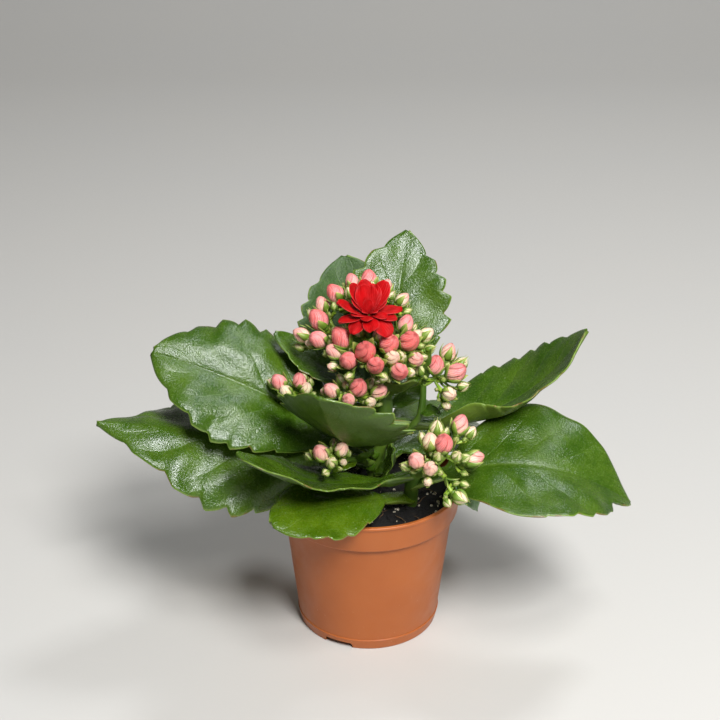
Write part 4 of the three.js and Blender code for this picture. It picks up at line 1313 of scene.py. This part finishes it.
def budsOf(cluster):  # its buds, leaflets, and the paths and radii of its peduncle, branches and pedicels
    random = randomStream(cyme["seed"] + cluster["seed"])
    more = randomStream(cyme["seed"] * 11 + cluster["seed"])
    fork = Vector(cluster["peduncle"][-1])
    thick = cluster["radius"]
    paths = [[Vector(spot) for spot in cluster["peduncle"]]]
    girths = [[thick * 1.1, *[thick] * (len(paths[0]) - 2), thick * 0.9]]
    buds, tiny, leafy = [], [], []
    taken = [(Vector(spot), across) for group in cluster["groups"] for *spot, across, age in group]
    if "bloomRoom" in cluster:
        seat = Vector(bloom["centre"]) - Vector(bloom["axis"]).normalized() * bloom["tubeLength"]
        taken.append((Vector(bloom["centre"]), cluster["bloomRoom"]))
        paths.append([fork, fork.lerp(seat, 0.5) + Vector((0, 0, 0.6)), seat])
        girths.append([cyme["branchRadius"], cyme["branchRadius"], 1.1])

    def add(centre, axis, across, age, start):
        foot = centre - axis * cyme["pedicelEnd"] * across
        bend = start.lerp(foot, 0.55) - axis * (foot - start).length * 0.1
        stout = 0.55 + 0.09 * across
        thin, wide = (radius * stout for radius in cyme["pedicelRadius"])
        buds.append({"centre": centre, "axis": axis, "across": across, "age": age})
        paths.append([start, bend, foot])
        girths.append([thin, thin, wide])

    def addLeaflet(foot, axis, share):
        long = within(cyme["leafletLength"], more()) * share
        leafy.append({"centre": foot, "axis": axis.normalized(), "across": long, "age": 0.3})

    def isFree(spot, across, share):
        return all((other - spot).length >= (wide + across) / 2 * share for other, wide in taken)

    for group in cluster["groups"]:
        middle = sum((Vector(spot[:3]) for spot in group), Vector()) / len(group)
        branchEnd = fork.lerp(middle, cluster["branching"])
        paths.append([fork, fork.lerp(branchEnd, 0.5) - Vector((0, 0, 0.3)), branchEnd])
        girths.append([cyme["branchRadius"] * 1.2, cyme["branchRadius"], cyme["branchRadius"]])
        heading = (middle - fork).normalized()
        away = squareTo(heading)
        for i in range(cyme["leaflets"]):
            angle = i * 2 * math.pi / cyme["leaflets"] + more()
            addLeaflet(branchEnd, heading + away(angle) * 0.8, 1)
        for *spot, across, age in group:
            centre = Vector(spot)
            axis = ((centre - branchEnd).normalized() + Vector((0, 0, cyme["lift"]))).normalized()
            add(centre, axis, across, age, branchEnd)
            away = squareTo(axis)
            firstAngle = random() * 2 * math.pi
            foot = centre - axis * cyme["leafletFoot"] * across
            addLeaflet(foot, axis + away(firstAngle + 1) * 0.9, 0.6)
            for i in range(cyme["youngBuds"]):
                younger = across * within(cyme["youngShare"], random())
                outwards = away(firstAngle + i * 2 * math.pi / cyme["youngBuds"] + random() * 0.6)
                place = centre + outwards * (across + younger) * cyme["youngReach"]
                place = place - axis * cyme["youngDrop"] * across
                if not isFree(place, younger, cyme["room"]):
                    continue
                taken.append((place, younger))
                lean = (axis + outwards * cyme["youngLean"]).normalized()
                add(place, lean, younger, 0.12 + 0.3 * more(), centre - axis * cyme["youngEnd"] * across)
            for i in range(cyme["tinyBuds"]):
                least = within(cyme["tinyDiameter"], more())
                angle = firstAngle + math.pi / 2 + i * 2 * math.pi / cyme["tinyBuds"] + more() * 0.8
                tiny.append((centre, axis, away(angle), across, least))
    for centre, axis, outwards, across, least in tiny:
        place = centre + outwards * (across * 0.42 + least * 0.6) - axis * cyme["tinyDrop"] * across
        if isFree(place, least, 1):
            taken.append((place, least))
            lean = (axis + outwards * cyme["tinyLean"]).normalized()
            add(place, lean, least, 0.1 * more(), centre - axis * cyme["tinyEnd"] * across)
    return buds, leafy, paths, girths


def scattered(name, buds, lumps, finish):  # the lump of its kind at each bud
    mesh = bpy.data.meshes.new(name)
    mesh.from_pydata([tuple(bud["centre"] * mm) for bud in buds], [], [])
    store(mesh, "size", [bud["across"] * mm for bud in buds])
    store(mesh, "age", [bud["age"] for bud in buds])
    store(mesh, "kind", [sum(bud["age"] <= limit for limit in budShape["ages"]) for bud in buds])
    turns = []
    for order, bud in enumerate(buds):
        turn = bud["axis"].to_track_quat("Z", "Y") @ Matrix.Rotation(2.4 * order, 3, "Z").to_quaternion()
        turns.append(tuple(turn.to_euler()))
    store(mesh, "turn", turns, "FLOAT_VECTOR")
    values = dict(zip(("Open", "Half", "Young"), lumps))
    return settled(name, mesh, placedTree, values | {"Finish": finish})


# The bloom's back petals stand up behind its heart, and the front ones lie flat or droop.

bloom = {
    "centre": (0, -8, 110.5),
    "axis": (0.03, -0.12, 0.99),
    "tubeLength": 7,  # down to where its branch ends
    "tube": (  # radius, height over the centre and fillet
        (0, -8.6, 0), (0.88, -8.6, 0.2), (2.09, -6.4, 0.6), (1.43, -2.2, 0.5), (1.21, -1.3, 0.2),
        (0, -1.3, 0),
    ),
    "tubeSides": 20,
    "petalThickness": 0.3,
    "widest": 0.64,
    "bluntness": 0.5,
    "rows": 17,
    "columns": 11,
    "leastHalfWidth": 0.45,
    "hollow": 0.14,  # share of the half-width by which the margins stand up
    "midrib": 0.12,
    "waviness": 0.9,
    "petals": (  # bearing from the right anticlockwise, rise of the foot, curl to the tip, length, width
        (132, 52, -6, 10.4, 5.6), (96, 58, -4, 10.4, 6), (62, 54, 4, 9.2, 5.4), (38, 44, -6, 11, 6),
        (170, 20, -14, 10, 5.6), (4, 8, 4, 9.8, 5), (194, 4, 8, 9.4, 5), (222, -2, 20, 8.6, 5),
        (262, 2, 8, 8, 5), (300, 0, 44, 9, 6.6), (336, 6, 16, 8, 4.8),
        (112, 66, 2, 9.2, 6.6), (74, 64, 6, 8.6, 5), (148, 46, 6, 7, 4.6), (28, 36, 10, 7, 4.4),
        (200, 24, 12, 6, 4), (246, 26, 22, 5.4, 3.8), (318, 24, 26, 5.6, 3.6),
        (92, 74, 10, 4.6, 3.2), (200, 62, 20, 3.4, 2.4), (320, 60, 24, 3.6, 2.4),
    ),
}


def petalMesh(bearing, foot, curl, length, width, seed, finish):
    b = bloom
    t, v = grid(b["rows"], b["columns"])
    angle = math.radians(bearing)
    out = np.array([math.cos(angle), math.sin(angle), 0])
    aside = np.array([-math.sin(angle), math.cos(angle), 0])
    upright = np.array([0, 0, 1.0])
    rise = np.radians(foot - curl * t[:, :1])[..., None]
    ahead = out * np.cos(rise) + upright * np.sin(rise)
    facing = upright * np.cos(rise) - out * np.sin(rise)
    step = length / (b["rows"] - 1)
    middle = np.cumsum(ahead, axis=0) * step - ahead[:1] * step + out * 0.5
    swell = np.sin(math.pi * np.clip(t, 0.02, 0.985) ** leanTo(b["widest"])) ** b["bluntness"]
    half = np.maximum(width / 2 * swell, b["leastHalfWidth"])
    hollow = b["hollow"] * half * v ** 2 - b["midrib"] * np.exp(-(v / 0.16) ** 2)
    wavy = [noise.noise(Vector((a * 1.6, c * 1.1, seed))) for a, c in zip(t.ravel(), v.ravel())]
    wavy = np.array(wavy).reshape(t.shape) * b["waviness"] * t
    sheet = middle + aside * (v * half)[..., None] + facing * (hollow + wavy)[..., None]
    thick = facing * (b["petalThickness"] * (1 - 0.6 * np.abs(v) ** 3) / 2)[..., None]
    return sheetMesh("petal", t, v, sheet + thick, sheet - thick, finish)


def petalDress(nodes, place):
    along, across = nodes.map("X"), nodes.map("Y")
    reach = abs(across * 2 - 1)
    upper = nodes.attribute("upper")
    ribs = nodes.sine((across - 0.5) * 60 / (0.4 + along))
    fine = nodes.noise(place, 0.5, 3, 0.6)
    cloudy = nodes.noise(place, 3, 2)
    base = nodes.coats(
        seen(154, 0, 8),
        (nodes.ramp(cloudy, 0.3, 0.7), seen(184, 0, 14)),
        (nodes.ramp(along, 0.4, 0, 0, 0.5), seen(140, 4, 16)),
        # painted highlight: pale rims along the petals' margins
        (nodes.ramp(reach, 0.93, 1, 0, 0.45), seen(232, 84, 84)),
        ((1 - upper) * 0.25, seen(196, 50, 50)),
        (nodes.ramp(fine, 0.5, 0.75, 0, 0.12), seen(214, 40, 44)),
    )
    roughness = nodes.ramp(fine, 0.3, 0.7, 0.5, 0.68)
    normal = nodes.bump(ribs, 0.03, nodes.bump(fine, 0.03))
    return soft(base, roughness, normal, 0.08, (2, 0.6, 0.6)) | {"Specular IOR Level": 0.2}


def makeBloom():
    b = bloom
    finish = material("petalFinish", petalDress)
    petals = [petalMesh(*shape, 5.1 * order, finish) for order, shape in enumerate(b["petals"])]
    points, faces = turned(rounded(b["tube"]), b["tubeSides"])
    turn = Vector(b["axis"]).to_track_quat("Z", "Y").to_matrix().to_4x4()
    seat = Matrix.Translation(Vector(b["centre"]) * mm) @ turn
    corolla = merged("bloom", petals)
    tube = meshFrom("bloomTube", np.array(points) * mm, faces, None, calyxFinish)
    for mesh in (corolla, tube):
        mesh.transform(seat)
    piece("bloom", corolla, "petal", "bloom")
    piece("bloomTube", tube, "stem")


makeBloom()
print("bloom made")


for node, cluster in clusters.items():
    buds, leafy, paths, girths = budsOf(cluster)
    name = camel(node)
    piece(name, scattered(name, buds, budLumps, budFinish), "bud", node)
    cups = scattered(name + "Calyxes", buds, calyxes, calyxFinish)
    twigs = stalks(name + "Twigs", paths[1:], girths[1:], 8, 4, calyxFinish)
    peduncle = stalks(name + "Peduncle", paths[:1], girths[:1], 14, 8, stemFinish)
    tufts = scattered(name + "Leaflets", leafy, leaflets, calyxFinish)
    piece(name + "Stalks", merged(name + "Stalks", [cups, twigs, tufts]), "stem", node)
    piece(name + "Peduncle", peduncle, "stem", node)
    print(node, len(buds), "buds")
